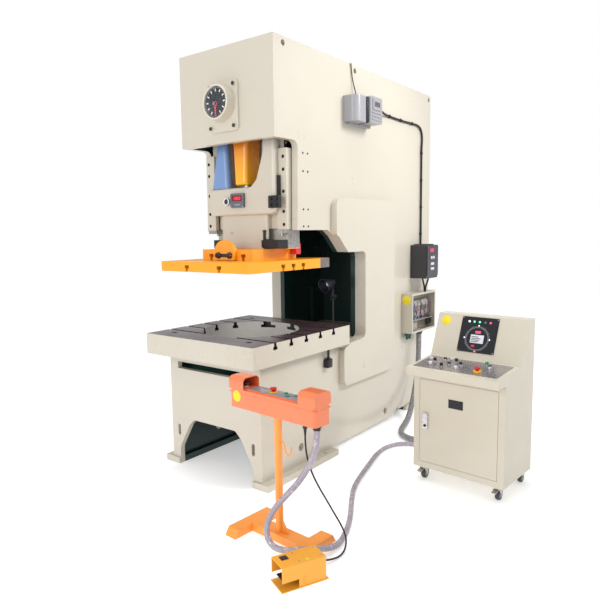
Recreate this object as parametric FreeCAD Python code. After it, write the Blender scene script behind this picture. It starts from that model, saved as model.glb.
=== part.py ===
"""C-frame crank press with its console, two-hand stand, foot switch and conduits.

Millimetres, +Z up, front towards -Y. The origin is on the floor, at the centre of
the four anchor holes in the front feet, straight under the slide's centre line.
"""
import FreeCAD, Part
import math
import os

V = FreeCAD.Vector

# ---- frame ---------------------------------------------------------------
FRAME_TOP = 3000.0          # height over the floor
FRAME_REAR = 2130.0         # rear edge of the side plates
HEAD_WIDTH = 892.0          # over both side plates
HEAD_FRONT = -220.0         # front of the head
HEAD_BOTTOM = 2347.0        # underside of the head's front
PLATE = 50.0                # side plates, cheeks and front plate
CHEEK_REAR = 1335.0         # rear edge of the cheeks
DOUBLER = 42.0              # inner plate round the throat
WALL = 60.0                 # cross walls that carry the bearings
THROAT_REAR = 846.0         # depth of the throat behind the slide
THROAT_TOP = 1564.0
GUIDE_BOTTOM = 1736.0       # lower end of the side plates in front of the throat
BED_TOP = 853.0
BED_FRONT = -411.0
FOOT_HEIGHT = 45.0
FOOT_WIDTH = 1024.0         # over both front feet
FOOT_INSIDE = 366.0
FOOT_FRONT = -426.0
FOOT_REAR = 414.0
ANCHOR_SPACING_X = 956.0
ANCHOR_SPACING_Y = 580.0
ANCHOR_RADIUS = 14.0
ARCH_HEIGHT = 363.0

# ---- bolster and slide ---------------------------------------------------
BOLSTER_WIDTH = 1045.0
BOLSTER_DEPTH = 1120.0
BOLSTER_THICK = 149.0
BOLSTER_HOLE = 365.0        # radius of the drop hole
BED_HOLE = 325.0            # radius of the hole in the bed's top plate
BOLSTER_SLOT_PITCH = 170.0
SLOT_NECK = 24.0            # width of a T-slot at the surface
SLOT_HEAD = 42.0
SLOT_NECK_DEPTH = 24.0
SLOT_DEPTH = 46.0
STROKE = 160.0
WAY_CLEARANCE = 0.2
GIB_FRONT = -34.0
GIB_LIP = 34.0
GIB_HALF = 390.0            # outer face of the gibs
WAY_HALF = 348.0            # half the distance between the gibs' side ways
WAY_DEPTH = 165.0
LIP_INSIDE = 306.0          # inner edge of each lip
GIB_HEIGHT = 557.0
NECK_HALF = 226.0
SLIDE_FRONT = -83.0
SLIDE_BOTTOM = 1527.0
FLANGE_THICK = 78.0
FLANGE_HALF = 245.0
BLOCK_BOTTOM = 1850.0
BLOCK_ROUND = 20.0          # rounding along the block's lower front edge
STOP_SLOT = 290.0           # inner end of the slots that pass the knock-out stops
POCKET_FLOOR = 2050.0
SLIDE_TOP = 2400.0
DIE_PLATE_THICK = 70.0
DIE_PLATE_HALF = 425.0
DIE_PLATE_FRONT = -475.0
DIE_PLATE_REAR = 432.0
KNOCKOUT_LIFT = 28.0        # how far the knock-out bar rises before its stops
BAR_HEIGHT = 60.0
BAR_LOW = SLIDE_BOTTOM + FLANGE_THICK + 5
BAR_SLOT_HALF = 32.0        # slot in the slide that the bar passes through
BAR_SLOT_HEIGHT = 145.0     # from the flange
GIB_BOTTOM = GUIDE_BOTTOM + 7
GIB_SCREW_X = 364.0
GIB_SCREW_Z = (1777.0, 1867.0, 2005.0, 2155.0, 2243.0)
SIDE_SCREWS = [(y, z) for z in (1762.0, 1881.0, 2145.0, 2270.0) for y in (86.0, 141.0)]
BOLSTER_TOP = BED_TOP + BOLSTER_THICK
BOLSTER_BOLTS = [(x, y) for x in (-BOLSTER_WIDTH / 2 + 155, BOLSTER_WIDTH / 2 - 155)
                 for y in (-BOLSTER_DEPTH / 2 + 135, BOLSTER_DEPTH / 2 - 135)]

# ---- crank drive ---------------------------------------------------------
CRANK_Z = 2600.0            # height of the crankshaft
RUNNING = 0.05              # radial clearance of a running bearing
JOURNAL = 70.0              # main journal radius
FRONT_JOURNAL = 55.0
CRANK_PIN = 75.0
PIN_SLACK = 4.0             # gap round the pin in the open big end
BUSH_WALL = 12.0
ROD_THICK = 168.0           # along the crankshaft, centred over the slide
ROD_FOOT = 56.0             # half the shank's width over its foot
ROD_WAIST = 68.0
BALL = 58.0
BALL_Z = 1930.0
SEAT = 75.0                 # outer radius of the ball's cup
BALL_NECK = 36.0
GEAR_MODULE = 8.0
GEAR_TEETH = 75
PINION_TEETH = 15
GEAR_FRONT = 640.0
GEAR_FACE = 110.0
BACKLASH = 0.8
DRIVE_SHAFT = 50.0
FLYWHEEL = 340.0
FLYWHEEL_FRONT = 1800.0
FLYWHEEL_FACE = 140.0
MOTOR_Z = 1500.0
MOTOR_PULLEY = 78.0
MOTOR_RADIUS = 130.0
MOTOR_SHAFT = 21.0
BELT = 12.0                 # width and depth of a belt's groove
BELTS = 4
CRANK_WEB = 165.0
SPINDLE = 12.0              # thin end of the crankshaft that turns the dial's hand
EYE_RISE = 17.0 / 160       # room over the pin in the big end, as a share of the stroke
PRESSURE_ANGLE = 20.0
CRANK_WALLS = (265.0, 1000.0)
REAR_WALL = 1480.0
PINION_Z = CRANK_Z - GEAR_MODULE * (GEAR_TEETH + PINION_TEETH) / 2
CRANK_SEAT = JOURNAL + RUNNING + BUSH_WALL
FRONT_SEAT = FRONT_JOURNAL + RUNNING + BUSH_WALL
SHAFT_SEAT = DRIVE_SHAFT + RUNNING + BUSH_WALL

# ---- side equipment ------------------------------------------------------
CAM_REAR = 950.0            # rear end of the cam switch unit
SHEET = 3.0                 # sheet metal of boxes and guards
LOOM = 18.0
THIN_CABLE = 8.0
DRIVE_FRONT = 1735.0        # drive box
DRIVE_BACK = 1975.0
DRIVE_LOW = 1282.0
DRIVE_HIGH = 1590.0
DRIVE_OUT = 172.0
JUNCTION_FRONT = 1565.0     # junction box
JUNCTION_BACK = 2056.0
JUNCTION_LOW = 785.0
JUNCTION_HIGH = 1150.0
JUNCTION_OUT = 110.0
LAMP_X = 250.0              # work lamp's joint
LAMP_Y = 738.0
LAMP_Z = 1197.0

# ---- console -------------------------------------------------------------
CONSOLE_X = 1177.0          # front left corner on the floor
CONSOLE_Y = 357.0
CONSOLE_TURN = -4.78        # degrees
CONSOLE_WIDTH = 644.0
CONSOLE_DEPTH = 445.0
CONSOLE_FLOOR = 100.0
CONSOLE_TOP = 1134.0
DESK_OVERHANG = 107.0
DESK_LIP = 762.0
DESK_FRONT = 814.0
DESK_REAR = 845.0
DESK_DEPTH = 224.0
SLOPE_DEPTH = 339.0
DOOR_LEFT = 44.0
DOOR_RIGHT = 601.0
DOOR_BOTTOM = 142.0
DOOR_TOP = 723.0
DOOR_GAP = 2.0
DOOR_THICK = 18.0
BUTTON_STEM = 9.0           # radius of every mushroom button's stem
CASTER_WHEEL = 37.5
CASTER_TRAIL = 24.0
CASTER_INSET = 55.0
CASTER_FRONT = 41.0
CASTER_REAR = CONSOLE_DEPTH - 47
CASTERS = {"front_left": (CASTER_INSET, CASTER_FRONT),
           "front_right": (CONSOLE_WIDTH - CASTER_INSET, CASTER_FRONT),
           "rear_left": (CASTER_INSET, CASTER_REAR),
           "rear_right": (CONSOLE_WIDTH - CASTER_INSET, CASTER_REAR)}
HANDLE = (94.0, 440.0)
DESK_BUTTONS = [(66, 222), (112, 190), (156, 254), (205, 258), (246, 240), (118, 118), (226, 172),
                (202, 112), (306, 112), (300, 192), (498, 198), (446, 272)]
ESTOP = (458.0, 104.0)

# ---- two-hand stand and foot switch --------------------------------------
STAND_X = 934.0
STAND_Y = -821.0
STAND_TURN = -4.65
STAND_SPREAD = 438.0        # between the feet's centre lines
STAND_FOOT = 362.0
STAND_FOOT_WIDTH = 84.0
STAND_FOOT_HEIGHT = 45.0
COLUMN = 22.0
CONTROL_Z = 725.0
CONTROL_LENGTH = 655.0
CONTROL_DEPTH = 130.0
CONTROL_HEIGHT = 108.0
PEDAL_X = 1160.0
PEDAL_Y = -1162.0
PEDAL_TURN = -25.0
PEDAL_WIDTH = 122.0
PEDAL_LENGTH = 250.0
PEDAL_HEIGHT = 124.0
PEDAL_SHEET = 3.0
PEDAL_PIVOT = (PEDAL_LENGTH - 60, 42.0)
PEDAL_GLAND = (34.0, 35.0)
PALM_X = 262.0
STAND_ESTOP_X = -30.0
CONDUIT_INLET_X = 283.0
PLUG_X = 201.0

# ---- conduits and cable --------------------------------------------------
TRUNK = 50.0
CONDUIT = 34.0
CABLE = 10.0
CONSOLE_GLANDS = ((147.0, CONDUIT), (305.0, TRUNK))
GLAND_Z = 150.0
TRUNK_ROUTE = [
    (505, 1810, 752), (505, 1810, 640), (507, 1800, 500), (513, 1760, 355),
    (528, 1680, 215), (555, 1570, 110), (590, 1440, 42), (628, 1295, 26),
    (668, 1150, 26), (722, 1040, 26), (820, 985, 26), (940, 985, 26),
    (1060, 1010, 26), (1190, 1055, 26), (1325, 1088, 34), (1445, 1058, 72),
    (1516, 960, 125), (1526, 870, 150), (1520, 800, 150),
]
CONDUIT_ROUTE = [
    (1218, -844, 692), (1216, -846, 610), (1190, -858, 520), (1125, -884, 400),
    (1040, -912, 300), (985, -935, 225), (957, -958, 150), (975, -982, 92),
    (1030, -1003, 64), (1100, -1004, 64), (1165, -968, 70), (1222, -895, 64),
    (1258, -805, 36), (1262, -705, 18), (1215, -560, 18), (1145, -410, 18), (1040, -235, 18),
    (945, -60, 18), (885, 120, 18), (830, 330, 18), (770, 540, 18),
    (752, 700, 18), (788, 840, 18), (890, 915, 18), (1020, 932, 18),
    (1140, 972, 25), (1245, 1010, 52), (1335, 978, 102), (1368, 884, 148),
    (1363, 812, 150),
]
CABLE_ROUTE = [
    (1135, -838, 650), (1135, -838, 590), (1142, -830, 515), (1150, -805, 435),
    (1160, -760, 345), (1176, -706, 250), (1200, -664, 160), (1240, -648, 90),
    (1286, -672, 48), (1316, -732, 14), (1322, -800, 8), (1306, -866, 18),
    (1284, -917, 30), (1269, -950, 35),
]


# ---- solids --------------------------------------------------------------
def box(x, y, z):
    """Block between two limits on each axis."""
    return Part.makeBox(x[1] - x[0], y[1] - y[0], z[1] - z[0], V(x[0], y[0], z[0]))


def rod(axis, centre, radius, start, end):
    """Cylinder along X, Y or Z; centre is its place on the other two axes."""
    a, b = centre
    base = {"X": V(start, a, b), "Y": V(a, start, b), "Z": V(a, b, start)}[axis]
    way = {"X": V(1, 0, 0), "Y": V(0, 1, 0), "Z": V(0, 0, 1)}[axis]
    return Part.makeCylinder(radius, end - start, base, way)


def tube(axis, centre, outer, inner, start, end):
    return rod(axis, centre, outer, start, end).cut(rod(axis, centre, inner, start - 1, end + 1))


def corner(before, point, after):
    """The points that a corner adds: one when sharp, three along its arc when round."""
    here = V(point[0], point[1], 0)
    if len(point) == 2:
        return [here]
    to_before = (V(before[0], before[1], 0) - here).normalize()
    to_after = (V(after[0], after[1], 0) - here).normalize()
    half = to_before.getAngle(to_after) / 2
    back = point[2] / math.tan(half)
    middle = (to_before + to_after).normalize() * (point[2] / math.sin(half) - point[2])
    return [here + to_before * back, here + middle, here + to_after * back]


def outline(points, axis, level):
    """Closed wire through (a, b) or (a, b, radius) points on a plane across an axis."""
    place = {"X": lambda p: V(level, p.x, p.y), "Y": lambda p: V(p.x, level, p.y),
             "Z": lambda p: V(p.x, p.y, level)}[axis]
    corners = [corner(points[i - 1], points[i], points[(i + 1) % len(points)])
               for i in range(len(points))]
    edges = []
    for i, turn in enumerate(corners):
        if len(turn) == 3:
            edges.append(Part.Arc(*[place(p) for p in turn]).toShape())
        start, end = place(turn[-1]), place(corners[(i + 1) % len(corners)][0])
        if start.distanceToPoint(end) > 1e-6:
            edges.append(Part.LineSegment(start, end).toShape())
    return Part.Wire(edges)


def prism(points, axis, start, end):
    """Outline on a plane across an axis, drawn out from start to end."""
    way = {"X": V(1, 0, 0), "Y": V(0, 1, 0), "Z": V(0, 0, 1)}[axis]
    return Part.Face(outline(points, axis, start)).extrude(way * (end - start))


def join(shapes):
    return shapes[0].fuse(shapes[1:]).removeSplitter()


def mirrored(shape):
    return shape.mirror(V(0, 0, 0), V(1, 0, 0))


def both_sides(shape):
    return [shape, mirrored(shape)]


def rounded(low, high, radius):
    """Rectangle's corner points with one radius, for outline and prism."""
    return [(low[0], low[1], radius), (high[0], low[1], radius),
            (high[0], high[1], radius), (low[0], high[1], radius)]


def placed(shape, x, y, turn):
    """Copy of a shape drawn about its own corner, turned and set on the floor."""
    copy = shape.copy()
    copy.rotate(V(0, 0, 0), V(0, 0, 1), turn)
    copy.translate(V(x, y, 0))
    return copy


def on_console(shape):
    return placed(shape, CONSOLE_X, CONSOLE_Y, CONSOLE_TURN)


def on_stand(shape):
    return placed(shape, STAND_X, STAND_Y, STAND_TURN)


def at_pedal(shape):
    return placed(shape, PEDAL_X, PEDAL_Y, PEDAL_TURN)


def save(name, shape):
    shape.exportStep("parts/" + name + ".step")


def route_tube(name, points, diameter):
    """Round tube along straight runs joined by tangent arcs; prints its radii."""
    path = [V(*p) for p in points]
    edges, radii, here = [], [], path[0]
    for before, point, after in zip(path, path[1:], path[2:]):
        into, out = point - before, after - point
        turn = into.getAngle(out)
        shorter = min(into.Length, out.Length)
        back = 0.45 * shorter
        radius = back / math.tan(turn / 2)
        start = point - into.normalize() * back
        end = point + out.normalize() * back
        inwards = (out - into).normalize()
        middle = point + inwards * (radius / math.cos(turn / 2) - radius)
        edges.append(Part.LineSegment(here, start).toShape())
        edges.append(Part.Arc(start, middle, end).toShape())
        radii.append(radius)
        here = end
    edges.append(Part.LineSegment(here, path[-1]).toShape())
    wire = Part.Wire(edges)
    section = Part.Wire(Part.makeCircle(diameter / 2, path[0], path[1] - path[0]))
    solid = wire.makePipeShell([section], True, False)
    area = math.pi * diameter ** 2 / 4
    print(name, "length", round(wire.Length), "least radius", round(min(radii)),
          "volume ratio", round(solid.Volume / (area * wire.Length), 4),
          "radii", [round(r) for r in radii])
    return solid


# ---- frame ---------------------------------------------------------------
def throat_edge():
    """The side plate's edge round the throat, from the guide's foot to the bed."""
    return [(382, GUIDE_BOTTOM, 30), (457, THROAT_TOP + 126), (588, THROAT_TOP, 20),
            (THROAT_REAR, THROAT_TOP, 40), (THROAT_REAR, BED_TOP + 8, 45), (621, BED_TOP - 4),
            (560, BED_TOP)]


def side_plate():
    """One side plate, with its rear lower corner swept in."""
    points = [(BED_FRONT, FOOT_HEIGHT), (BED_FRONT, BED_TOP)] + throat_edge()[::-1]
    points += [(15, GUIDE_BOTTOM), (28, HEAD_BOTTOM, 45), (HEAD_FRONT, HEAD_BOTTOM),
               (HEAD_FRONT, FRAME_TOP), (FRAME_REAR, FRAME_TOP), (FRAME_REAR, 1150, 300),
               (1760, 640, 300), (1690, 330, 200), (1545, 120, 150), (1392, FOOT_HEIGHT, 60)]
    half = HEAD_WIDTH / 2
    return prism(points, "X", half - PLATE, half)


def cheek():
    """Outer plate round the throat."""
    points = [(432, THROAT_TOP + 126, 20)] + throat_edge()[1:6]
    points += [(527, BED_TOP - 45, 25), (527, 513, 60), (CHEEK_REAR, 513, 60),
               (CHEEK_REAR, 1985, 60), (432, 1975, 60)]
    half = HEAD_WIDTH / 2
    return prism(points, "X", half, half + PLATE)


def doubler():
    """Inner plate that stiffens the throat's edge, behind the guides."""
    start = WAY_DEPTH + 5
    points = throat_edge()[:4] + [(THROAT_REAR, BED_TOP - 19), (960, BED_TOP - 19), (960, 1690),
                                  (660, 1690), (500, 1860), (start, 1860), (start, GUIDE_BOTTOM)]
    half = HEAD_WIDTH / 2 - PLATE
    return prism(points, "X", half - DOUBLER, half)


def bed_front_plate():
    """Front of the bed, with the window under the bolster and the arch below."""
    half = HEAD_WIDTH / 2
    plate = box((-half, half), (BED_FRONT, BED_FRONT + 40), (FOOT_HEIGHT, BED_TOP))
    window = box((-362, 362), (BED_FRONT - 1, BED_FRONT + 41), (734, 786))
    arch = prism([(-FOOT_INSIDE, FOOT_HEIGHT - 1), (-FOOT_INSIDE, 130, 90),
                  (-255, ARCH_HEIGHT - 45, 40), (-205, ARCH_HEIGHT, 40), (205, ARCH_HEIGHT, 40),
                  (255, ARCH_HEIGHT - 45, 40), (FOOT_INSIDE, 130, 90), (FOOT_INSIDE, FOOT_HEIGHT - 1)],
                 "Y", BED_FRONT - 1, BED_FRONT + 41)
    slot = prism([(356, 220, 13.9), (384, 220, 13.9), (384, 305, 13.9), (356, 305, 13.9)],
                 "Y", BED_FRONT - 1, BED_FRONT + 41)
    return plate.cut([window, arch] + both_sides(slot))


def bearing_wall(front, low, holes):
    """Cross wall between the side plates; holes are (height, radius) of its bearings."""
    inside = HEAD_WIDTH / 2 - PLATE
    wall = box((-inside, inside), (front, front + WALL), (low, FRAME_TOP - 40))
    return wall.cut([rod("Y", (0, z), r, front - 1, front + WALL + 1) for z, r in holes])


def frame():
    half = HEAD_WIDTH / 2
    inside = half - PLATE
    plates = both_sides(side_plate()) + both_sides(cheek()) + both_sides(doubler())
    front = box((-half, half), (HEAD_FRONT, HEAD_FRONT + PLATE), (HEAD_BOTTOM, FRAME_TOP))
    front = front.cut(rod("Y", (0, CRANK_Z), FRONT_SEAT, HEAD_FRONT - 1, HEAD_FRONT + PLATE + 1))
    top = box((-inside, inside), (HEAD_FRONT, FRAME_REAR - 30), (FRAME_TOP - 40, FRAME_TOP))
    bearings = [(CRANK_Z, CRANK_SEAT), (PINION_Z, SHAFT_SEAT)]
    walls = [bearing_wall(y, 1780, bearings) for y in CRANK_WALLS]
    rear = bearing_wall(REAR_WALL, FOOT_HEIGHT, [(PINION_Z, SHAFT_SEAT)])
    roof = box((-inside, inside), (CRANK_WALLS[0], REAR_WALL), (1740, 1780))
    bed_top = box((-inside, inside), (BED_FRONT, REAR_WALL), (BED_TOP - 50, BED_TOP))
    bed_top = bed_top.cut(rod("Z", (0, 0), BED_HOLE, BED_TOP - 51, BED_TOP + 1))
    cross = box((-inside, inside), (FOOT_REAR - 30, FOOT_REAR), (FOOT_HEIGHT, BED_TOP - 50))
    foot = box((FOOT_INSIDE, FOOT_WIDTH / 2), (FOOT_FRONT, FOOT_REAR), (0, FOOT_HEIGHT))
    anchors = [rod("Z", (ANCHOR_SPACING_X / 2, y), ANCHOR_RADIUS, -1, FOOT_HEIGHT + 1)
               for y in (-ANCHOR_SPACING_Y / 2, ANCHOR_SPACING_Y / 2)]
    foot = foot.cut(anchors)
    leg = box((inside - 30, inside), (1300, 2050), (FOOT_HEIGHT, 1200))
    rear_foot = box((inside - 110, inside + 20), (1740, 2070), (0, FOOT_HEIGHT))
    leg_back = box((-inside, inside), (2020, 2050), (FOOT_HEIGHT, 1200))
    seat = box((WAY_HALF, inside), (WAY_DEPTH, CRANK_WALLS[0]), (GUIDE_BOTTOM, HEAD_BOTTOM + 60))
    pairs = both_sides(foot) + both_sides(leg) + both_sides(rear_foot) + both_sides(seat)
    body = join(plates + [front, top, rear, roof, bed_top, cross, leg_back, bed_front_plate()]
                + walls + pairs)
    lift = [rod("X", (y, FRAME_TOP - 42), 20, -half - 1, half + 1) for y in (-116, 771)]
    lift.append(rod("X", (FRAME_REAR - 38, FRAME_TOP - 42), 20, -half - 1, half + 1))
    sides = [rod("X", (25, 167), 30, -half - 1, half + 1),
             rod("X", (1266, 123), 28, -half - 1, half + 1)]
    screws = [rod("X", at, 7.3, -half - 1, half + 1) for at in SIDE_SCREWS]
    return body.cut(lift + sides + screws)


# ---- bolster, gibs -------------------------------------------------------
def t_slot(axis, centre, level, up, length):
    """Cutter for a T-slot across a plate, open at level and cut down (or up) into it."""
    way = -1 if up else 1
    neck = sorted((level - way * 1, level + way * (SLOT_NECK_DEPTH + 0.5)))
    head = sorted((level + way * SLOT_NECK_DEPTH, level + way * SLOT_DEPTH))
    cutters = []
    for width, z in ((SLOT_NECK, neck), (SLOT_HEAD, head)):
        across = (centre - width / 2, centre + width / 2)
        if axis == "X":
            cutters.append(box((-length, length), across, z))
        else:
            cutters.append(box(across, (-length, length), z))
    return cutters


def bolster():
    plate = box((-BOLSTER_WIDTH / 2, BOLSTER_WIDTH / 2), (-BOLSTER_DEPTH / 2, BOLSTER_DEPTH / 2),
                (BED_TOP, BOLSTER_TOP))
    cutters = [rod("Z", (0, 0), BOLSTER_HOLE, BED_TOP - 1, BOLSTER_TOP + 1)]
    for row in (-2, -1, 0, 1, 2):
        cutters += t_slot("X", row * BOLSTER_SLOT_PITCH, BOLSTER_TOP, True, BOLSTER_WIDTH)
    for at in BOLSTER_BOLTS:
        cutters.append(rod("Z", at, 22, BOLSTER_TOP - 30, BOLSTER_TOP + 1))
        cutters.append(rod("Z", at, 14, BED_TOP - 1, BOLSTER_TOP))
    return plate.cut(cutters)


def socket_screw(axis, centre, head, way, head_radius, head_length, shank_radius, shank_length):
    """Cap screw whose head starts at head and whose shank runs on in the given direction."""
    neck = head + way * head_length
    end = neck + way * shank_length
    top = rod(axis, centre, head_radius, min(head, neck), max(head, neck))
    key = rod(axis, centre, head_radius * 0.5, min(head, head + way * head_length * 0.5),
              max(head, head + way * head_length * 0.5))
    shank = rod(axis, centre, shank_radius, min(neck, end), max(neck, end))
    return top.cut(key).fuse(shank).removeSplitter()


def bolster_bolts():
    return Part.makeCompound([socket_screw("Z", at, BOLSTER_TOP - 2, -1, 20, 26, 13.5, 118)
                              for at in BOLSTER_BOLTS])


def gib():
    """Right-hand guide box: a lip in front of the way and a block beside it."""
    top = GIB_BOTTOM + GIB_HEIGHT
    front = box((LIP_INSIDE, GIB_HALF), (GIB_FRONT, GIB_FRONT + GIB_LIP), (GIB_BOTTOM, top))
    block = box((WAY_HALF, GIB_HALF), (GIB_FRONT + GIB_LIP, WAY_DEPTH), (GIB_BOTTOM, top))
    body = join([front, block])
    heads = [rod("Y", (GIB_SCREW_X, z), 12.5, GIB_FRONT - 1, GIB_FRONT + 16) for z in GIB_SCREW_Z]
    return body.cut(heads)


def gib_screws():
    """Cap screws in the gibs' front faces and the small adjusting screws in the sides."""
    half = HEAD_WIDTH / 2
    caps = [socket_screw("Y", (x, z), GIB_FRONT + 1, 1, 12, 14, 5, 0.5)
            for x in (-GIB_SCREW_X, GIB_SCREW_X) for z in GIB_SCREW_Z]
    sides = [rod("X", at, 7, GIB_HALF, half + 2) for at in SIDE_SCREWS]
    return Part.makeCompound(caps + sides + [mirrored(s) for s in sides])


# ---- slide ---------------------------------------------------------------
def slide():
    way = WAY_HALF - WAY_CLEARANCE
    back = WAY_DEPTH - WAY_CLEARANCE
    lip_gap = 2.0
    flange_top = SLIDE_BOTTOM + FLANGE_THICK
    flange = box((-FLANGE_HALF, FLANGE_HALF), (-FLANGE_HALF + 10, FLANGE_HALF + 8),
                 (SLIDE_BOTTOM, flange_top))
    core = box((-NECK_HALF, NECK_HALF), (-50, back + 35), (flange_top - 1, POCKET_FLOOR))
    core = core.makeFillet(18, [e for e in core.Edges if e.BoundBox.ZLength > 400])
    ribs = [box((-way, -NECK_HALF + 30), (WAY_CLEARANCE, back), (flange_top, SLIDE_TOP)),
            box((NECK_HALF - 30, way), (WAY_CLEARANCE, back), (flange_top, SLIDE_TOP))]
    back_wall = box((-NECK_HALF, NECK_HALF), (ROD_THICK / 2 + 12, back), (POCKET_FLOOR - 1, SLIDE_TOP))
    pocket = [(223, SLIDE_TOP), (223, 2330), (197, 2240), (150, 2100, 60), (95, POCKET_FLOOR, 40)]
    apron = prism([(-322, BLOCK_BOTTOM, 45), (322, BLOCK_BOTTOM, 45), (322, SLIDE_TOP, 10)] + pocket
                  + [(-322, POCKET_FLOOR, 6)], "Y", SLIDE_FRONT, GIB_FRONT - 6)
    lower_front = [e for e in apron.Edges if e.BoundBox.YMax < SLIDE_FRONT + 0.1
                   and e.BoundBox.ZMax < POCKET_FLOOR - 60]
    apron = apron.makeFillet(BLOCK_ROUND, lower_front)
    between_lips = LIP_INSIDE - lip_gap
    web = prism([(-between_lips, BLOCK_BOTTOM), (between_lips, BLOCK_BOTTOM), (between_lips, SLIDE_TOP)]
                + pocket + [(-between_lips, POCKET_FLOOR)], "Y", GIB_FRONT - 7, 20)
    body = join([flange, core, apron, web, back_wall] + ribs)
    cutters = [rod("Z", (0, 0), SEAT, BALL_Z - BALL - 14, POCKET_FLOOR + 1)]
    for x in (-157, 157):
        cutters += t_slot("Y", x, SLIDE_BOTTOM, False, FLANGE_HALF * 2)
    slot = (-BAR_SLOT_HALF, BAR_SLOT_HALF)
    slot_top = flange_top + BAR_SLOT_HEIGHT
    cutters.append(box((-WAY_HALF - 1, WAY_HALF + 1), slot, (flange_top + 2, slot_top)))
    cutters += both_sides(box((STOP_SLOT, WAY_HALF + 1), slot, (slot_top - 1, slot_top + STROKE)))
    cutters.append(box((186, NECK_HALF + 1), (-51, -31), (flange_top + 2, flange_top + 70)))
    return body.cut(cutters).removeSplitter()


def shank_clamp():
    """Round-topped cap on the flange's front, with its two studs and nuts."""
    front = -FLANGE_HALF + 10
    cap = rod("Y", (0, SLIDE_BOTTOM + 43), 103, front - 28, front)
    cap = cap.cut(box((-110, 110), (front - 29, front + 1), (SLIDE_BOTTOM - 80, SLIDE_BOTTOM + 4)))
    parts = [cap]
    for x in (-55, 55):
        parts.append(rod("Y", (x, SLIDE_BOTTOM + 38), 11, front - 56, front - 20))
        corners = [V(x + 19 * math.cos(math.radians(60 * k)), front - 44,
                     SLIDE_BOTTOM + 38 + 19 * math.sin(math.radians(60 * k))) for k in range(7)]
        parts.append(Part.Face(Part.makePolygon(corners)).extrude(V(0, 17, 0)))
    return join(parts)


def upper_die_plate():
    plate = box((-DIE_PLATE_HALF, DIE_PLATE_HALF), (DIE_PLATE_FRONT, DIE_PLATE_REAR),
                (SLIDE_BOTTOM - DIE_PLATE_THICK, SLIDE_BOTTOM))
    cutters = []
    for x in (-158, 158):
        cutters += t_slot("Y", x, SLIDE_BOTTOM - DIE_PLATE_THICK, False, 600)
    for y in (-122, -8, 106):
        cutters += t_slot("X", y, SLIDE_BOTTOM - DIE_PLATE_THICK, False, 600)
    return plate.cut(cutters)


def knockout_bar():
    """Bar through the slide's neck, with a bevelled arm in front of the neck's right side."""
    top = BAR_LOW + BAR_HEIGHT
    bar = box((-338, 345), (-28, 28), (BAR_LOW, top))
    arm = prism([(190, BAR_LOW + 12), (206, BAR_LOW), (345, BAR_LOW), (345, top), (190, top)],
                "Y", -76, -53)
    heel = box((NECK_HALF + 6, 345), (-76, -27), (BAR_LOW, top))
    stud = rod("Z", (207, -64), 9, top - 1, top + 58)
    head = rod("Z", (207, -64), 12, top + 58, top + 70)
    return join([bar, arm, heel, stud, head])


def knockout_stops():
    """Adjustable stop screws under the gibs, over the bar's two ends."""
    low = BAR_LOW + BAR_HEIGHT + KNOCKOUT_LIFT + 2
    stops = []
    for x in (-368, 368):
        inwards = x - math.copysign(52, x)
        ends = sorted((x + math.copysign(20, x), inwards - math.copysign(14, x)))
        block = box(ends, (-30, 30), (GIB_BOTTOM - 26, GIB_BOTTOM))
        screw = rod("Z", (inwards, 0), 11, low, GIB_BOTTOM - 26)
        stops.append(join([block, screw]))
    return Part.makeCompound(stops)


def adjusting_motor():
    """Cowl of the slide-adjusting motor, wider at its foot."""
    foot = outline(rounded((-302, -78), (-128, -4), 34), "Z", POCKET_FLOOR)
    head = outline(rounded((-232, -74), (-146, -8), 30), "Z", SLIDE_TOP)
    return Part.makeLoft([foot, head], True)


def ball_seat():
    cup = rod("Z", (0, 0), SEAT, BALL_Z - BALL - 14, BALL_Z + 30)
    return cup.cut(Part.makeSphere(BALL + RUNNING, V(0, 0, BALL_Z)))


def slide_gauges():
    """Height counter with its raised frame, and the round oil sight beside it."""
    case = prism(rounded((-81, 1905), (49, 2007), 8), "Y", SLIDE_FRONT - 20, SLIDE_FRONT)
    window = box((-66, 34), (SLIDE_FRONT - 21, SLIDE_FRONT - 15), (1950, 1992))
    drain = box((-48, 16), (SLIDE_FRONT - 21, SLIDE_FRONT - 14), (1920, 1932))
    sight = rod("Y", (-128, 1951), 29, SLIDE_FRONT - 14, SLIDE_FRONT)
    sight = sight.cut(rod("Y", (-128, 1951), 19, SLIDE_FRONT - 15, SLIDE_FRONT - 9))
    return Part.makeCompound([case.cut([window, drain]), sight])


def stroke_pointer():
    """Clamp block on the slide's right edge, with its upright scale bar."""
    block = prism(rounded((291, 1890), (384, 1975), 6), "Y", SLIDE_FRONT - 30, SLIDE_FRONT)
    foot = box((323, 346), (SLIDE_FRONT - 1, GIB_FRONT - 9), (1950, 1975))
    bar = box((323, 346), (GIB_FRONT - 21, GIB_FRONT - 9), (1970, 2116))
    bolts = [rod("Y", (x, z), 9, SLIDE_FRONT - 40, SLIDE_FRONT - 29)
             for x in (316, 364) for z in (1912, 1952)]
    return join([block, foot, bar] + bolts)


# ---- crank train ---------------------------------------------------------
def involute(angle, base):
    t = angle
    return base * (math.cos(t) + t * math.sin(t)), base * (math.sin(t) - t * math.cos(t))


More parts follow.
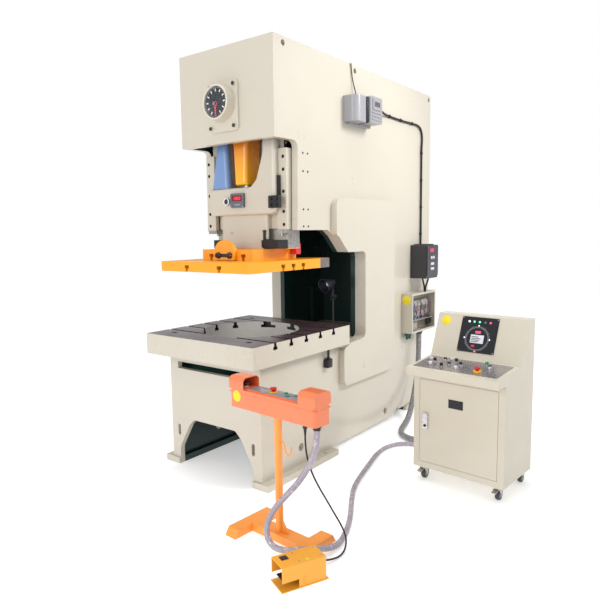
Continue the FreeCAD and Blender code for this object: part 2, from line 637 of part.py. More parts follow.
def spur_gear(teeth, centre_z, first_tooth, start, end):
    """Involute spur gear about an axis along Y; first_tooth is its angle in degrees."""
    pitch = GEAR_MODULE * teeth / 2
    base = pitch * math.cos(math.radians(PRESSURE_ANGLE))
    tip, root = pitch + GEAR_MODULE, pitch - 1.25 * GEAR_MODULE
    at_pitch = math.tan(math.radians(PRESSURE_ANGLE)) - math.radians(PRESSURE_ANGLE)
    half = math.pi / (2 * teeth) - BACKLASH / (2 * pitch)
    spread = half + at_pitch
    roll_tip = math.sqrt((tip / base) ** 2 - 1)
    roll_low = math.sqrt(max((root / base) ** 2 - 1, 0))
    rolls = [roll_low + (roll_tip - roll_low) * k / 5 for k in range(6)]
    flank = []
    for roll in rolls:
        x, y = involute(roll, base)
        flank.append((math.hypot(x, y), spread - math.atan2(y, x)))
    flank = [(min(root, flank[0][0]), flank[0][1])] + flank
    points = []
    for tooth in range(teeth):
        middle = math.radians(first_tooth) + 2 * math.pi * tooth / teeth
        side = [(r, middle - a) for r, a in flank] + [(r, middle + a) for r, a in reversed(flank)]
        points += [V(r * math.cos(a), start, centre_z + r * math.sin(a)) for r, a in side]
    points.append(points[0])
    return Part.Face(Part.makePolygon(points)).extrude(V(0, end - start, 0))


def crankshaft():
    throw = STROKE / 2
    pin = (-ROD_THICK / 2 - 8, ROD_THICK / 2 + 8)
    webs = [rod("Y", (0, CRANK_Z + throw * 0.4), CRANK_WEB, pin[0] - 66, pin[0]),
            rod("Y", (0, CRANK_Z + throw * 0.4), CRANK_WEB, pin[1], pin[1] + 68)]
    shaft = [rod("Y", (0, CRANK_Z), FRONT_JOURNAL, HEAD_FRONT - 60, pin[0] - 60),
             rod("Y", (0, CRANK_Z), SPINDLE, HEAD_FRONT - 104, HEAD_FRONT - 50),
             rod("Y", (0, CRANK_Z + throw), CRANK_PIN, pin[0] - 5, pin[1] + 5),
             rod("Y", (0, CRANK_Z), JOURNAL, pin[1] + 60, CRANK_WALLS[1] + WALL + 30)]
    return join(webs + shaft)


def bull_gear():
    gear = spur_gear(GEAR_TEETH, CRANK_Z, -90, GEAR_FRONT, GEAR_FRONT + GEAR_FACE)
    cutters = [rod("Y", (0, CRANK_Z), JOURNAL, GEAR_FRONT - 1, GEAR_FRONT + GEAR_FACE + 1)]
    for k in range(6):
        angle = math.radians(60 * k + 30)
        at = (180 * math.cos(angle), CRANK_Z + 180 * math.sin(angle))
        cutters.append(rod("Y", at, 55, GEAR_FRONT - 1, GEAR_FRONT + GEAR_FACE + 1))
    return gear.cut(cutters)


def dial_housing():
    """Square flange on the head's front with a round glazed drum."""
    front = HEAD_FRONT
    flange = prism(rounded((-136, CRANK_Z - 178), (140, CRANK_Z + 156), 26), "Y", front - 16, front)
    drum = rod("Y", (0, CRANK_Z + 12), 118, front - 92, front - 15)
    body = join([flange, drum])
    bolts = [rod("Y", (x, z), 13, front - 30, front - 15)
             for x in (-110, 112) for z in (CRANK_Z - 148, CRANK_Z + 130)]
    hollow = rod("Y", (0, CRANK_Z + 12), 105, front - 93, front - 82)
    bore = rod("Y", (0, CRANK_Z), FRONT_JOURNAL + 4, front - 66, front + 1)
    spindle = rod("Y", (0, CRANK_Z), SPINDLE + RUNNING, front - 93, front - 50)
    return join([body] + bolts).cut([hollow, bore, spindle])


def dial_pointer():
    """Hand that shows the crank's angle; it points down at the top of the stroke."""
    level = HEAD_FRONT - 90
    hub = rod("Y", (0, CRANK_Z), 17, level, level + 6)
    hand = prism([(-7, CRANK_Z), (7, CRANK_Z), (4, CRANK_Z - 78), (0, CRANK_Z - 86),
                  (-4, CRANK_Z - 78)], "Y", level, level + 5)
    return join([hub, hand]).cut(rod("Y", (0, CRANK_Z), SPINDLE, level - 1, level + 7))


def big_end():
    """Big end whose eye is long enough for the pin's sideways travel."""
    throw = STROKE / 2
    centre = CRANK_Z + throw
    slack_z = EYE_RISE * STROKE + PIN_SLACK
    half_x, half_z = throw + CRANK_PIN + PIN_SLACK + 6, CRANK_PIN + slack_z
    outer = rounded((-half_x - 44, centre - half_z - 44), (half_x + 44, centre + half_z + 44), 90)
    eye = rounded((-half_x, centre - half_z), (half_x, centre + half_z), 60)
    y = (-ROD_THICK / 2, ROD_THICK / 2)
    return prism(outer, "Y", y[0], y[1]).cut(prism(eye, "Y", y[0] - 1, y[1] + 1)), centre


def con_rod():
    """Lower half of the big end and the box-shaped shank that narrows downwards."""
    ring, centre = big_end()
    lower = ring.cut(box((-400, 400), (-400, 400), (centre, centre + 400)))
    y = (-ROD_THICK / 2, ROD_THICK / 2)
    foot = POCKET_FLOOR + 14
    join_z = centre - CRANK_PIN - EYE_RISE * STROKE - PIN_SLACK - 20
    shank = prism([(-ROD_FOOT, foot, 8), (ROD_FOOT, foot, 8), (ROD_WAIST, 2340), (105, join_z),
                   (-105, join_z), (-ROD_WAIST, 2340)], "Y", y[0], y[1])
    long_edges = [e for e in shank.Edges if e.BoundBox.YLength < 1 and e.BoundBox.ZLength > 200]
    shank = shank.makeFillet(30, long_edges)
    bore = rod("Z", (0, 0), BALL_NECK, foot - 1, foot + 60)
    return join([lower, shank]).cut(bore)


def rod_cap():
    ring, centre = big_end()
    return ring.cut(box((-400, 400), (-400, 400), (centre - 400, centre)))


def ball_screw():
    ball = Part.makeSphere(BALL, V(0, 0, BALL_Z))
    screw = rod("Z", (0, 0), BALL_NECK, BALL_Z, POCKET_FLOOR + 74)
    return join([ball, screw])


def pinion_shaft():
    first = 90 + 180 / PINION_TEETH
    pinion = spur_gear(PINION_TEETH, PINION_Z, first, GEAR_FRONT - 5, GEAR_FRONT + GEAR_FACE + 5)
    end = FLYWHEEL_FRONT + FLYWHEEL_FACE + 40
    shaft = rod("Y", (0, PINION_Z), DRIVE_SHAFT, CRANK_WALLS[0] - 10, end)
    collar = rod("Y", (0, PINION_Z), DRIVE_SHAFT + 90, FLYWHEEL_FRONT - 60, FLYWHEEL_FRONT - 12)
    return join([shaft, pinion, collar])


def grooved(radius, centre_z, start, face, count):
    """Cylinder about an axis along Y with grooves for the belts."""
    rim = rod("Y", (0, centre_z), radius, start, start + face)
    pitch = face / (count + 1)
    grooves = [tube("Y", (0, centre_z), radius + 1, radius - BELT, start + pitch * (k + 1) - BELT / 2,
                    start + pitch * (k + 1) + BELT / 2) for k in range(count)]
    return rim.cut(grooves)


def flywheel():
    rim = grooved(FLYWHEEL, PINION_Z, FLYWHEEL_FRONT, FLYWHEEL_FACE, BELTS)
    recess = tube("Y", (0, PINION_Z), FLYWHEEL - 60, 110, FLYWHEEL_FRONT - 1, FLYWHEEL_FRONT + 45)
    back = FLYWHEEL_FRONT + FLYWHEEL_FACE
    bore = rod("Y", (0, PINION_Z), DRIVE_SHAFT + RUNNING, FLYWHEEL_FRONT - 1, back + 1)
    return rim.cut([recess, recess.translated(V(0, FLYWHEEL_FACE - 44, 0)), bore])


def motor_pulley():
    rim = grooved(MOTOR_PULLEY, MOTOR_Z, FLYWHEEL_FRONT, FLYWHEEL_FACE, BELTS)
    shaft = rod("Y", (0, MOTOR_Z), MOTOR_SHAFT, FLYWHEEL_FRONT - 39, FLYWHEEL_FRONT + FLYWHEEL_FACE)
    return join([rim, shaft])


def belt_loop(inner_top, inner_foot, y):
    """Closed loop round the flywheel and the motor pulley, BELT wide."""
    loops = []
    for extra in (BELT - 2, 0):
        top, foot = inner_top + extra, inner_foot + extra
        lean = math.asin((top - foot) / (PINION_Z - MOTOR_Z))
        cos, sin = math.cos(lean), math.sin(lean)
        upper = [V(s * top * cos, y, PINION_Z - top * sin) for s in (-1, 1)]
        lower = [V(s * foot * cos, y, MOTOR_Z - foot * sin) for s in (-1, 1)]
        edges = [Part.Arc(upper[0], V(0, y, PINION_Z + top), upper[1]).toShape(),
                 Part.LineSegment(upper[1], lower[1]).toShape(),
                 Part.Arc(lower[1], V(0, y, MOTOR_Z - foot), lower[0]).toShape(),
                 Part.LineSegment(lower[0], upper[0]).toShape()]
        loops.append(Part.Face(Part.Wire(edges)).extrude(V(0, BELT - 2, 0)))
    return loops[0].cut(loops[1])


def v_belts():
    pitch = FLYWHEEL_FACE / (BELTS + 1)
    slack = 0.5
    return Part.makeCompound([belt_loop(FLYWHEEL - BELT + slack, MOTOR_PULLEY - BELT + slack,
                                        FLYWHEEL_FRONT + pitch * (k + 1) - BELT / 2 + 1)
                              for k in range(BELTS)])


def drive_motor():
    """Flange-mounted motor on the rear wall, with cooling ribs and a terminal box."""
    start = REAR_WALL + WALL
    body = rod("Y", (0, MOTOR_Z), MOTOR_RADIUS, start, FLYWHEEL_FRONT - 45)
    flange = rod("Y", (0, MOTOR_Z), MOTOR_RADIUS + 35, start, start + 20)
    crown = MOTOR_Z + MOTOR_RADIUS
    terminal = box((-60, 60), (start + 60, start + 170), (crown - 10, crown + 55))
    ribs = []
    for k in range(24):
        rib = box((MOTOR_RADIUS - 3, MOTOR_RADIUS + 14), (start + 35, FLYWHEEL_FRONT - 75), (-3, 3))
        rib.rotate(V(0, 0, 0), V(0, 1, 0), 15 * k)
        rib.translate(V(0, 0, MOTOR_Z))
        ribs.append(rib)
    bore = rod("Y", (0, MOTOR_Z), MOTOR_SHAFT + RUNNING, FLYWHEEL_FRONT - 90, FLYWHEEL_FRONT - 44)
    return join([body, flange, terminal] + ribs).cut(bore)


def bearing_bushes():
    front = HEAD_FRONT
    bushes = [tube("Y", (0, CRANK_Z), FRONT_SEAT, FRONT_JOURNAL + RUNNING, front, front + PLATE)]
    bushes += [tube("Y", (0, CRANK_Z), CRANK_SEAT, JOURNAL + RUNNING, y, y + WALL)
               for y in CRANK_WALLS]
    bushes += [tube("Y", (0, PINION_Z), SHAFT_SEAT, DRIVE_SHAFT + RUNNING, y, y + WALL)
               for y in CRANK_WALLS + (REAR_WALL,)]
    return Part.makeCompound(bushes)


def flywheel_guard():
    """Louvred sheet that closes the back of the frame over the flywheel."""
    half = HEAD_WIDTH / 2 - PLATE - 1
    rear = FRAME_REAR - 12
    low, high = 1205.0, FRAME_TOP - 45
    sheet = box((-half, half), (rear - SHEET, rear), (low, high))
    rims = both_sides(box((half - SHEET, half), (rear - 30, rear), (low, high)))
    rims += [box((-half, half), (rear - 30, rear), z) for z in ((low, low + SHEET), (high - SHEET, high))]
    levels = [first + 60 * k for first in (1400, 2300) for k in range(6)]
    slots = [prism(rounded((x - 110, z - 7), (x + 110, z + 7), 6.9), "Y", rear - SHEET - 1, rear + 1)
             for x in (-190, 190) for z in levels]
    return join([sheet] + rims).cut(slots)


# ---- side equipment ------------------------------------------------------
def cam_switch():
    """Rotary cam switch unit on the head's side: a rounded drum case and a ribbed block."""
    face = HEAD_WIDTH / 2
    pad = box((face, face + 40), (640, 940), (2538, 2560))
    case = prism([(face, 600), (face + 124, 600, 60), (face + 124, 775, 60), (face, 775)],
                 "Z", 2552, 2744)
    block = prism(rounded((770, 2558), (CAM_REAR, 2756), 14), "X", face, face + 140)
    ribs = [box((face + 20, face + 146), (790, CAM_REAR - 12), (z, z + 9))
            for z in (2580, 2606, 2632)]
    lid = prism(rounded((800, 2656), (CAM_REAR - 24, 2740), 8), "X", face + 139, face + 147)
    return join([case, block, lid, pad] + ribs)


def drive_box():
    face = HEAD_WIDTH / 2
    case = prism(rounded((DRIVE_FRONT, DRIVE_LOW), (DRIVE_BACK, DRIVE_HIGH), 8),
                 "X", face, face + DRIVE_OUT - 8)
    front = prism(rounded((DRIVE_FRONT + 6, DRIVE_LOW + 24), (DRIVE_BACK - 6, DRIVE_HIGH - 6), 8),
                  "X", face + DRIVE_OUT - 9, face + DRIVE_OUT)
    fins = [box((face + 20, face + 150), (DRIVE_FRONT + 30 + 20 * k, DRIVE_FRONT + 38 + 20 * k),
                (DRIVE_HIGH - 1, DRIVE_HIGH + 9)) for k in range(8)]
    return join([case, front] + fins)


def junction_box():
    """Open-sided sheet box with two shelves and a bracket back to the side plate."""
    face = HEAD_WIDTH / 2
    out = face + JUNCTION_OUT
    outer = box((face, out), (JUNCTION_FRONT, JUNCTION_BACK), (JUNCTION_LOW, JUNCTION_HIGH))
    inner = box((face + SHEET, out + 1), (JUNCTION_FRONT + SHEET, JUNCTION_BACK - SHEET),
                (JUNCTION_LOW + SHEET, JUNCTION_HIGH - SHEET))
    rims = box((out - SHEET, out), (JUNCTION_FRONT, JUNCTION_BACK), (JUNCTION_LOW, JUNCTION_HIGH))
    rims = rims.cut(box((face, face + 200), (JUNCTION_FRONT + 18, JUNCTION_BACK - 18),
                        (JUNCTION_LOW + 18, JUNCTION_HIGH - 18)))
    return join([outer.cut(inner), rims])


def terminal_strips():
    """Two rows of terminal blocks on rails and a valve block below them."""
    face = HEAD_WIDTH / 2 + SHEET
    rows = []
    for z in (1045.0, 945.0):
        rail = box((face, face + 12), (1590, 2030), (z - 18, z + 18))
        blocks = [box((face + 11, face + 52), (1606 + 26 * k, 1629 + 26 * k), (z - 26, z + 26))
                  for k in range(16)]
        rows.append(join([rail] + blocks))
    rows.append(box((face, face + 60), (1600, 1760), (800, 872)))
    return Part.makeCompound(rows)


def loom_parts():
    """Cables clipped along the frame's side, with their ties."""
    x = HEAD_WIDTH / 2 + 12
    out = [(x + 74, CAM_REAR, 2700), (x + 62, 1030, 2698), (x + 30, 1140, 2690), (x, 1262, 2692),
           (x, 1400, 2688), (x, 1560, 2686), (x, 1700, 2688), (x, 1820, 2690), (x, 1900, 2672),
           (x, 1938, 2600), (x, 1925, 2480)]
    main = route_tube("loom", out, LOOM)
    drop = rod("Z", (x, 1925), LOOM / 2, DRIVE_HIGH, 2480)
    up = [(x + 20, 745, 2744), (x + 8, 738, 2810), (x - 4, 722, 2880), (x - 4, 708, 2950),
          (x - 4, 700, 3000)]
    riser = route_tube("riser", up, THIN_CABLE)
    left = route_tube("cross a", [(x + 60, 1850, DRIVE_LOW), (x + 56, 1868, 1245), (x + 52, 1902, 1205),
                                  (x + 52, 1912, JUNCTION_HIGH)], 16)
    right = route_tube("cross b", [(x + 86, 1925, DRIVE_LOW), (x + 84, 1908, 1245), (x + 82, 1874, 1205),
                                   (x + 82, 1862, JUNCTION_HIGH)], 16)
    ties = [tube("Z", (x, 1925), LOOM / 2 + 3, LOOM / 2, z - 4, z + 4)
            for z in (2450, 2200, 1950, 1700)]
    return Part.makeCompound([join([main, drop] + ties), riser, left, right])


def lamp_arm():
    """Work lamp's foot on the bed, its upright rod and the fork of its joint."""
    foot = rod("Z", (LAMP_X, LAMP_Y), 34, BED_TOP, BED_TOP + 22)
    post = rod("Z", (LAMP_X, LAMP_Y), 8, BED_TOP + 20, LAMP_Z - 23)
    depth = (LAMP_Y - 11, LAMP_Y + 11)
    fork = [box((LAMP_X - 17, LAMP_X - 10), depth, (LAMP_Z - 32, LAMP_Z + 14)),
            box((LAMP_X + 10, LAMP_X + 17), depth, (LAMP_Z - 32, LAMP_Z + 14)),
            box((LAMP_X - 17, LAMP_X + 17), depth, (LAMP_Z - 32, LAMP_Z - 22))]
    pin = rod("X", (LAMP_Y, LAMP_Z), 4, LAMP_X - 12, LAMP_X + 12)
    return join([foot, post, pin] + fork)


def lamp_head():
    """Conical shade that tilts on the arm's pin."""
    eye = rod("X", (LAMP_Y, LAMP_Z), 10, LAMP_X - 9.5, LAMP_X + 9.5)
    stem = box((LAMP_X - 6, LAMP_X + 6), (LAMP_Y - 6, LAMP_Y + 6), (LAMP_Z + 4, LAMP_Z + 100))
    shade = Part.makeCone(24, 60, 115, V(0, 0, 0), V(0, 0, 1))
    shade = shade.cut(Part.makeCone(20, 57, 112, V(0, 0, 4), V(0, 0, 1)))
    shade.rotate(V(0, 0, 0), V(1, 0, 0), 105)
    shade.rotate(V(0, 0, 0), V(0, 0, 1), -12)
    shade.translate(V(LAMP_X, LAMP_Y + 6, LAMP_Z + 118))
    body = join([eye, stem, shade])
    return body.cut(rod("X", (LAMP_Y, LAMP_Z), 4 + RUNNING, LAMP_X - 20, LAMP_X + 20))


# ---- console -------------------------------------------------------------
def console_profile():
    """The cabinet's side: desk lip in front, sloping desk, steep panel behind it."""
    return [(0, CONSOLE_FLOOR), (CONSOLE_DEPTH, CONSOLE_FLOOR), (CONSOLE_DEPTH, CONSOLE_TOP),
            (SLOPE_DEPTH, CONSOLE_TOP), (DESK_DEPTH, DESK_REAR), (-DESK_OVERHANG, DESK_FRONT),
            (-DESK_OVERHANG, DESK_LIP), (0, DESK_LIP)]


def console_cabinet():
    shell = Part.Face(outline(console_profile(), "X", 0)).extrude(V(CONSOLE_WIDTH, 0, 0))
    inner = Part.Face(outline(console_profile(), "X", SHEET)).makeOffset2D(-SHEET)
    inner = inner.extrude(V(CONSOLE_WIDTH - 2 * SHEET, 0, 0))
    door = box((DOOR_LEFT, DOOR_RIGHT), (-5, SHEET + 5), (DOOR_BOTTOM, DOOR_TOP))
    glands = [rod("Y", (x, GLAND_Z), d / 2, CONSOLE_DEPTH - 10, CONSOLE_DEPTH + 1)
              for x, d in CONSOLE_GLANDS]
    return on_console(shell.cut([inner, door] + glands))


def console_door():
    """Folded door pan, hinged at its right edge."""
    x = (DOOR_LEFT + DOOR_GAP, DOOR_RIGHT - DOOR_GAP)
    z = (DOOR_BOTTOM + DOOR_GAP, DOOR_TOP - DOOR_GAP)
    pan = box(x, (0, DOOR_THICK), z)
    hollow = box((x[0] + 2, x[1] - 2), (2, DOOR_THICK + 1), (z[0] + 2, z[1] - 2))
    return on_console(pan.cut(hollow))


def door_handle():
    """Swing handle on the door, with its lock."""
    x, z = HANDLE
    grip = prism(rounded((x - 19, z - 62), (x + 19, z + 50), 14), "Y", -16, -0.3)
    lock = rod("Y", (x, z - 36), 8, -18, -15)
    return on_console(join([grip, lock]))


def desk_point(across, back, up):
    """Point on the sloping desk: across and back along it, and up from its surface."""
    rise = math.atan2(DESK_REAR - DESK_FRONT, DESK_DEPTH + DESK_OVERHANG)
    return V(across, -DESK_OVERHANG + back * math.cos(rise) - up * math.sin(rise),
             DESK_FRONT + back * math.sin(rise) + up * math.cos(rise)), math.degrees(rise)


def on_desk(shape, across, back):
    """Shape drawn upright about its own foot, set on the desk and square to it."""
    foot, rise = desk_point(across, back, 0)
    copy = shape.copy()
    copy.rotate(V(0, 0, 0), V(1, 0, 0), rise)
    copy.translate(foot)
    return on_console(copy)


def button_panel():
    plate = prism(rounded((-292, 0), (292, 262), 4), "Z", 0, 2.5)
    return on_desk(plate, 318, 46)


def push_button(cap_radius, cap_height):
    return join([rod("Z", (0, 0), 15, 2.5, 8), rod("Z", (0, 0), cap_radius, 7, 7 + cap_height)])


def desk_buttons():
    """Lamps, buttons and selectors with a raised grip, and the collar of the stop button."""
    buttons = []
    for k, (across, back) in enumerate(DESK_BUTTONS):
        shape = push_button(11, 12)
        if k % 3 == 1:
            shape = join([shape, box((-10, 10), (-3, 3), (18, 27))])
        buttons.append(on_desk(shape, across, back))
    buttons.append(on_desk(tube("Z", (0, 0), 26, BUTTON_STEM + RUNNING, 2.5, 16), *ESTOP))
    return Part.makeCompound(buttons)


def mushroom(cap, stem, travel, depth):
    """Mushroom head with its travel left under it, on a stem that is depth long."""
    head = Part.makeCone(cap * 0.72, cap, 8, V(0, 0, travel), V(0, 0, 1))
    dome = rod("Z", (0, 0), cap, travel + 8, travel + 15)
    dome = dome.makeFillet(5, [e for e in dome.Edges if e.BoundBox.ZMin > travel + 14])
    return join([rod("Z", (0, 0), stem, -depth, travel + 2), head, dome])


def console_estop():
    return on_desk(mushroom(20, BUTTON_STEM, 6, 8).translated(V(0, 0, 16)), *ESTOP)


def display_panel():
    """Black display plate on the sloping back panel."""
    rise = math.degrees(math.atan2(CONSOLE_TOP - DESK_REAR, SLOPE_DEPTH - DESK_DEPTH))
    plate = prism(rounded((188, 52), (453, 300), 5), "Z", 0, 4)
    plate.rotate(V(0, 0, 0), V(1, 0, 0), rise)
    plate.translate(V(0, DESK_DEPTH, DESK_REAR))
    return on_console(plate)


def caster_fork(braked):
    """Swivel fork about its own vertical axis, with the axle in it."""
    axle = CASTER_WHEEL
    top = CONSOLE_FLOOR
    head = [rod("Z", (0, 0), 23, top - 14, top), rod("Z", (0, 0), 14, top - 20, top)]
    leg = [(-16, top - 14), (20, top - 14), (CASTER_TRAIL + 12, axle + 8),
           (CASTER_TRAIL + 10, axle - 11, 6), (CASTER_TRAIL - 10, axle - 11, 6),
           (CASTER_TRAIL - 14, axle + 10)]
    legs = [prism(leg, "X", x, x + 3) for x in (-19, 16)]
    bridge = box((-19, 19), (-16, 20), (top - 17, top - 14))
    pin = rod("X", (CASTER_TRAIL, axle), 4, -22, 22)
    parts = head + legs + [bridge, pin]
    if braked:
        parts.append(prism([(-60, top - 30), (-14, top - 17), (-14, top - 21), (-60, top - 34)],
                           "X", -16, 16))
    return join(parts)


def caster_wheel():
    wheel = rod("X", (CASTER_TRAIL, CASTER_WHEEL), CASTER_WHEEL, -12.5, 12.5)
    wheel = wheel.makeFillet(5, [e for e in wheel.Edges if len(e.Vertexes) == 1])
    return wheel.cut(rod("X", (CASTER_TRAIL, CASTER_WHEEL), 4 + RUNNING, -20, 20))


def at_caster(shape, corner_name):
    x, y = CASTERS[corner_name]
    return on_console(shape.translated(V(x, y, 0)))


# ---- two-hand stand ------------------------------------------------------
def stand():
    """Welded stand: two feet, a cross bar, the column with its gusset, hook and top plate."""
    half, width, height = STAND_FOOT / 2, STAND_FOOT_WIDTH / 2, STAND_FOOT_HEIGHT
    parts = []
    for side in (-STAND_SPREAD / 2, STAND_SPREAD / 2):
        parts.append(prism([(-half, 0), (half, 0), (half - 28, height), (-half + 28, height)],
                           "X", side - width, side + width))
    parts.append(box((-STAND_SPREAD / 2, STAND_SPREAD / 2), (-46, 46), (0, height)))
    parts.append(rod("Z", (0, 0), COLUMN, height - 2, CONTROL_Z - 6))
    parts.append(prism([(COLUMN - 4, height - 1), (COLUMN + 52, height - 1), (COLUMN - 4, height + 78)],
                       "Y", -4, 4))
    parts.append(box((-90, 90), (-55, 55), (CONTROL_Z - 6, CONTROL_Z)))
    bent = [(18, 0, 585), (44, 0, 562), (54, 0, 520), (76, 0, 500), (98, 0, 520), (100, 0, 556)]
    parts.append(route_tube("hook", bent, 9))
    return on_stand(join(parts))


def palm_guard(side):
    """Hood over a palm button, open on the side and towards the middle."""
    end = CONTROL_LENGTH / 2
    top = CONTROL_Z + CONTROL_HEIGHT
    start = end - 118
    wide, thin = CONTROL_DEPTH / 2, CONTROL_DEPTH / 2 - 4
    outer = prism([(-wide, top - 1), (wide, top - 1), (wide, top + 70, 30), (-wide, top + 70, 30)],
                  "X", start, end)
    inner = prism([(-thin, top - 2), (thin, top - 2), (thin, top + 66, 26), (-thin, top + 66, 26)],
                  "X", start - 1, end - 4)
    guard = outer.cut(inner)
    return guard if side > 0 else mirrored(guard)


def control_box():
    """Cast box with palm guards at its ends and a raised panel between them."""
    half, depth = CONTROL_LENGTH / 2, CONTROL_DEPTH / 2
    top = CONTROL_Z + CONTROL_HEIGHT
    body = prism(rounded((-half, -depth), (half, depth), 26), "Z", CONTROL_Z, top)
    hollow = prism(rounded((-half + 5, -depth + 5), (half - 5, depth - 5), 21),
                   "Z", CONTROL_Z + 4, top - 4)
    panel = prism(rounded((-196, -48), (196, 48), 8), "Z", top - 1, top + 6)
    collars = [rod("Z", (x, 0), 22, top - 1, top + 8) for x in (-PALM_X, PALM_X)]
    estop_collar = rod("Z", (STAND_ESTOP_X, 0), 20, top + 5, top + 14)
    bores = [rod("Z", (x, 0), BUTTON_STEM + RUNNING, top - 30, top + 15)
             for x in (-PALM_X, STAND_ESTOP_X, PALM_X)]
    inlets = [rod("Z", (x, 0), r, CONTROL_Z - 1, CONTROL_Z + 5)
              for x, r in ((CONDUIT_INLET_X, CONDUIT / 2), (PLUG_X, 9))]
    shell = join([body.cut(hollow), panel, estop_collar, palm_guard(1), palm_guard(-1)] + collars)
    return on_stand(shell.cut(bores + inlets))


def palm_button(side):
    top = CONTROL_Z + CONTROL_HEIGHT + 8
    return on_stand(mushroom(27, BUTTON_STEM, 7, 20).translated(V(side * PALM_X, 0, top)))


def stand_estop():
    top = CONTROL_Z + CONTROL_HEIGHT + 14
    return on_stand(mushroom(20, BUTTON_STEM, 6, 24).translated(V(STAND_ESTOP_X, 0, top)))


# ---- foot switch ---------------------------------------------------------
def pedal_case():
    """Base plate with a folded cover that is open at the front and notched at the side."""
    width, length, height, t = PEDAL_WIDTH, PEDAL_LENGTH, PEDAL_HEIGHT, PEDAL_SHEET
    base = box((-4, width + 4), (-4, length + 6), (0, 4))
    cover = box((0, width), (0, length - 8), (3, height))
    cover = cover.cut([box((t, width - t), (-1, length - 8 - t), (2, height - t)),
                       box((width - t - 1, width + 1), (-1, 92), (2, 46)),
                       box((-1, t + 1), (-1, 92), (2, 46))])
    stiffener = prism([(118, 4), (126, 4), (126, 52), (118, 52)], "X", width - 0.5, width + 3)
    inlet = tube("Y", PEDAL_GLAND, 11, CABLE / 2, length - 12, length + 6)
    ears = [box((x, x + 4), (PEDAL_PIVOT[0] - 12, PEDAL_PIVOT[0] + 12), (3, 54))
            for x in (24, width - 28)]
    pin = rod("X", PEDAL_PIVOT, 4, 22, width - 22)
    hole = rod("Y", PEDAL_GLAND, CABLE / 2, length - 14, length)
    return at_pedal(join([base, cover.cut(hole), stiffener, inlet, pin] + ears))


def foot_pedal():
    """Tread plate that tilts down at the front about its pin."""
    tread = box((30, PEDAL_WIDTH - 30), (12, PEDAL_PIVOT[0] - 8), (44, 48))
    ribs = [box((33, PEDAL_WIDTH - 33), (20 + 16 * k, 25 + 16 * k), (47.5, 50)) for k in range(5)]
    hub = rod("X", PEDAL_PIVOT, 10, 30, PEDAL_WIDTH - 30)
    body = join([tread, hub] + ribs)
    return at_pedal(body.cut(rod("X", PEDAL_PIVOT, 4 + RUNNING, 20, PEDAL_WIDTH - 20)))


# ---- fittings and conduits -----------------------------------------------
def gland(axis, centre, radius, start, end):
    """Screwed gland: a collar with a hexagon-like wide ring, bored for its conduit."""
    middle = start + (end - start) * 0.55
    ring = tube(axis, centre, radius + 9, radius, min(start, middle), max(start, middle))
    sleeve = tube(axis, centre, radius + 4, radius, min(middle, end) - 1, max(middle, end))
    return join([ring, sleeve])


def cord_fittings():
    """Glands where the conduits enter, and the plug of the foot switch's cable."""
    parts = []
    trunk = TRUNK_ROUTE[0]
    parts.append(gland("Z", trunk[:2], TRUNK / 2, JUNCTION_LOW, trunk[2] + 3))
    for x, diameter in CONSOLE_GLANDS:
        fitting = gland("Y", (x, GLAND_Z), diameter / 2, CONSOLE_DEPTH, CONSOLE_DEPTH + 30)
        parts.append(on_console(fitting))
    foot = CONDUIT_ROUTE[0][2] + 3
    parts.append(on_stand(gland("Z", (CONDUIT_INLET_X, 0), CONDUIT / 2, CONTROL_Z, foot)))
    plug = join([rod("Z", (0, 0), 9, CONTROL_Z - 45, CONTROL_Z),
                 rod("Z", (0, 0), 13, CONTROL_Z - 38, CONTROL_Z - 10),
                 Part.makeCone(6, 9, 32, V(0, 0, CABLE_ROUTE[0][2]), V(0, 0, 1))])
    parts.append(on_stand(plug.translated(V(PLUG_X, 0, 0))))
    return Part.makeCompound(parts)


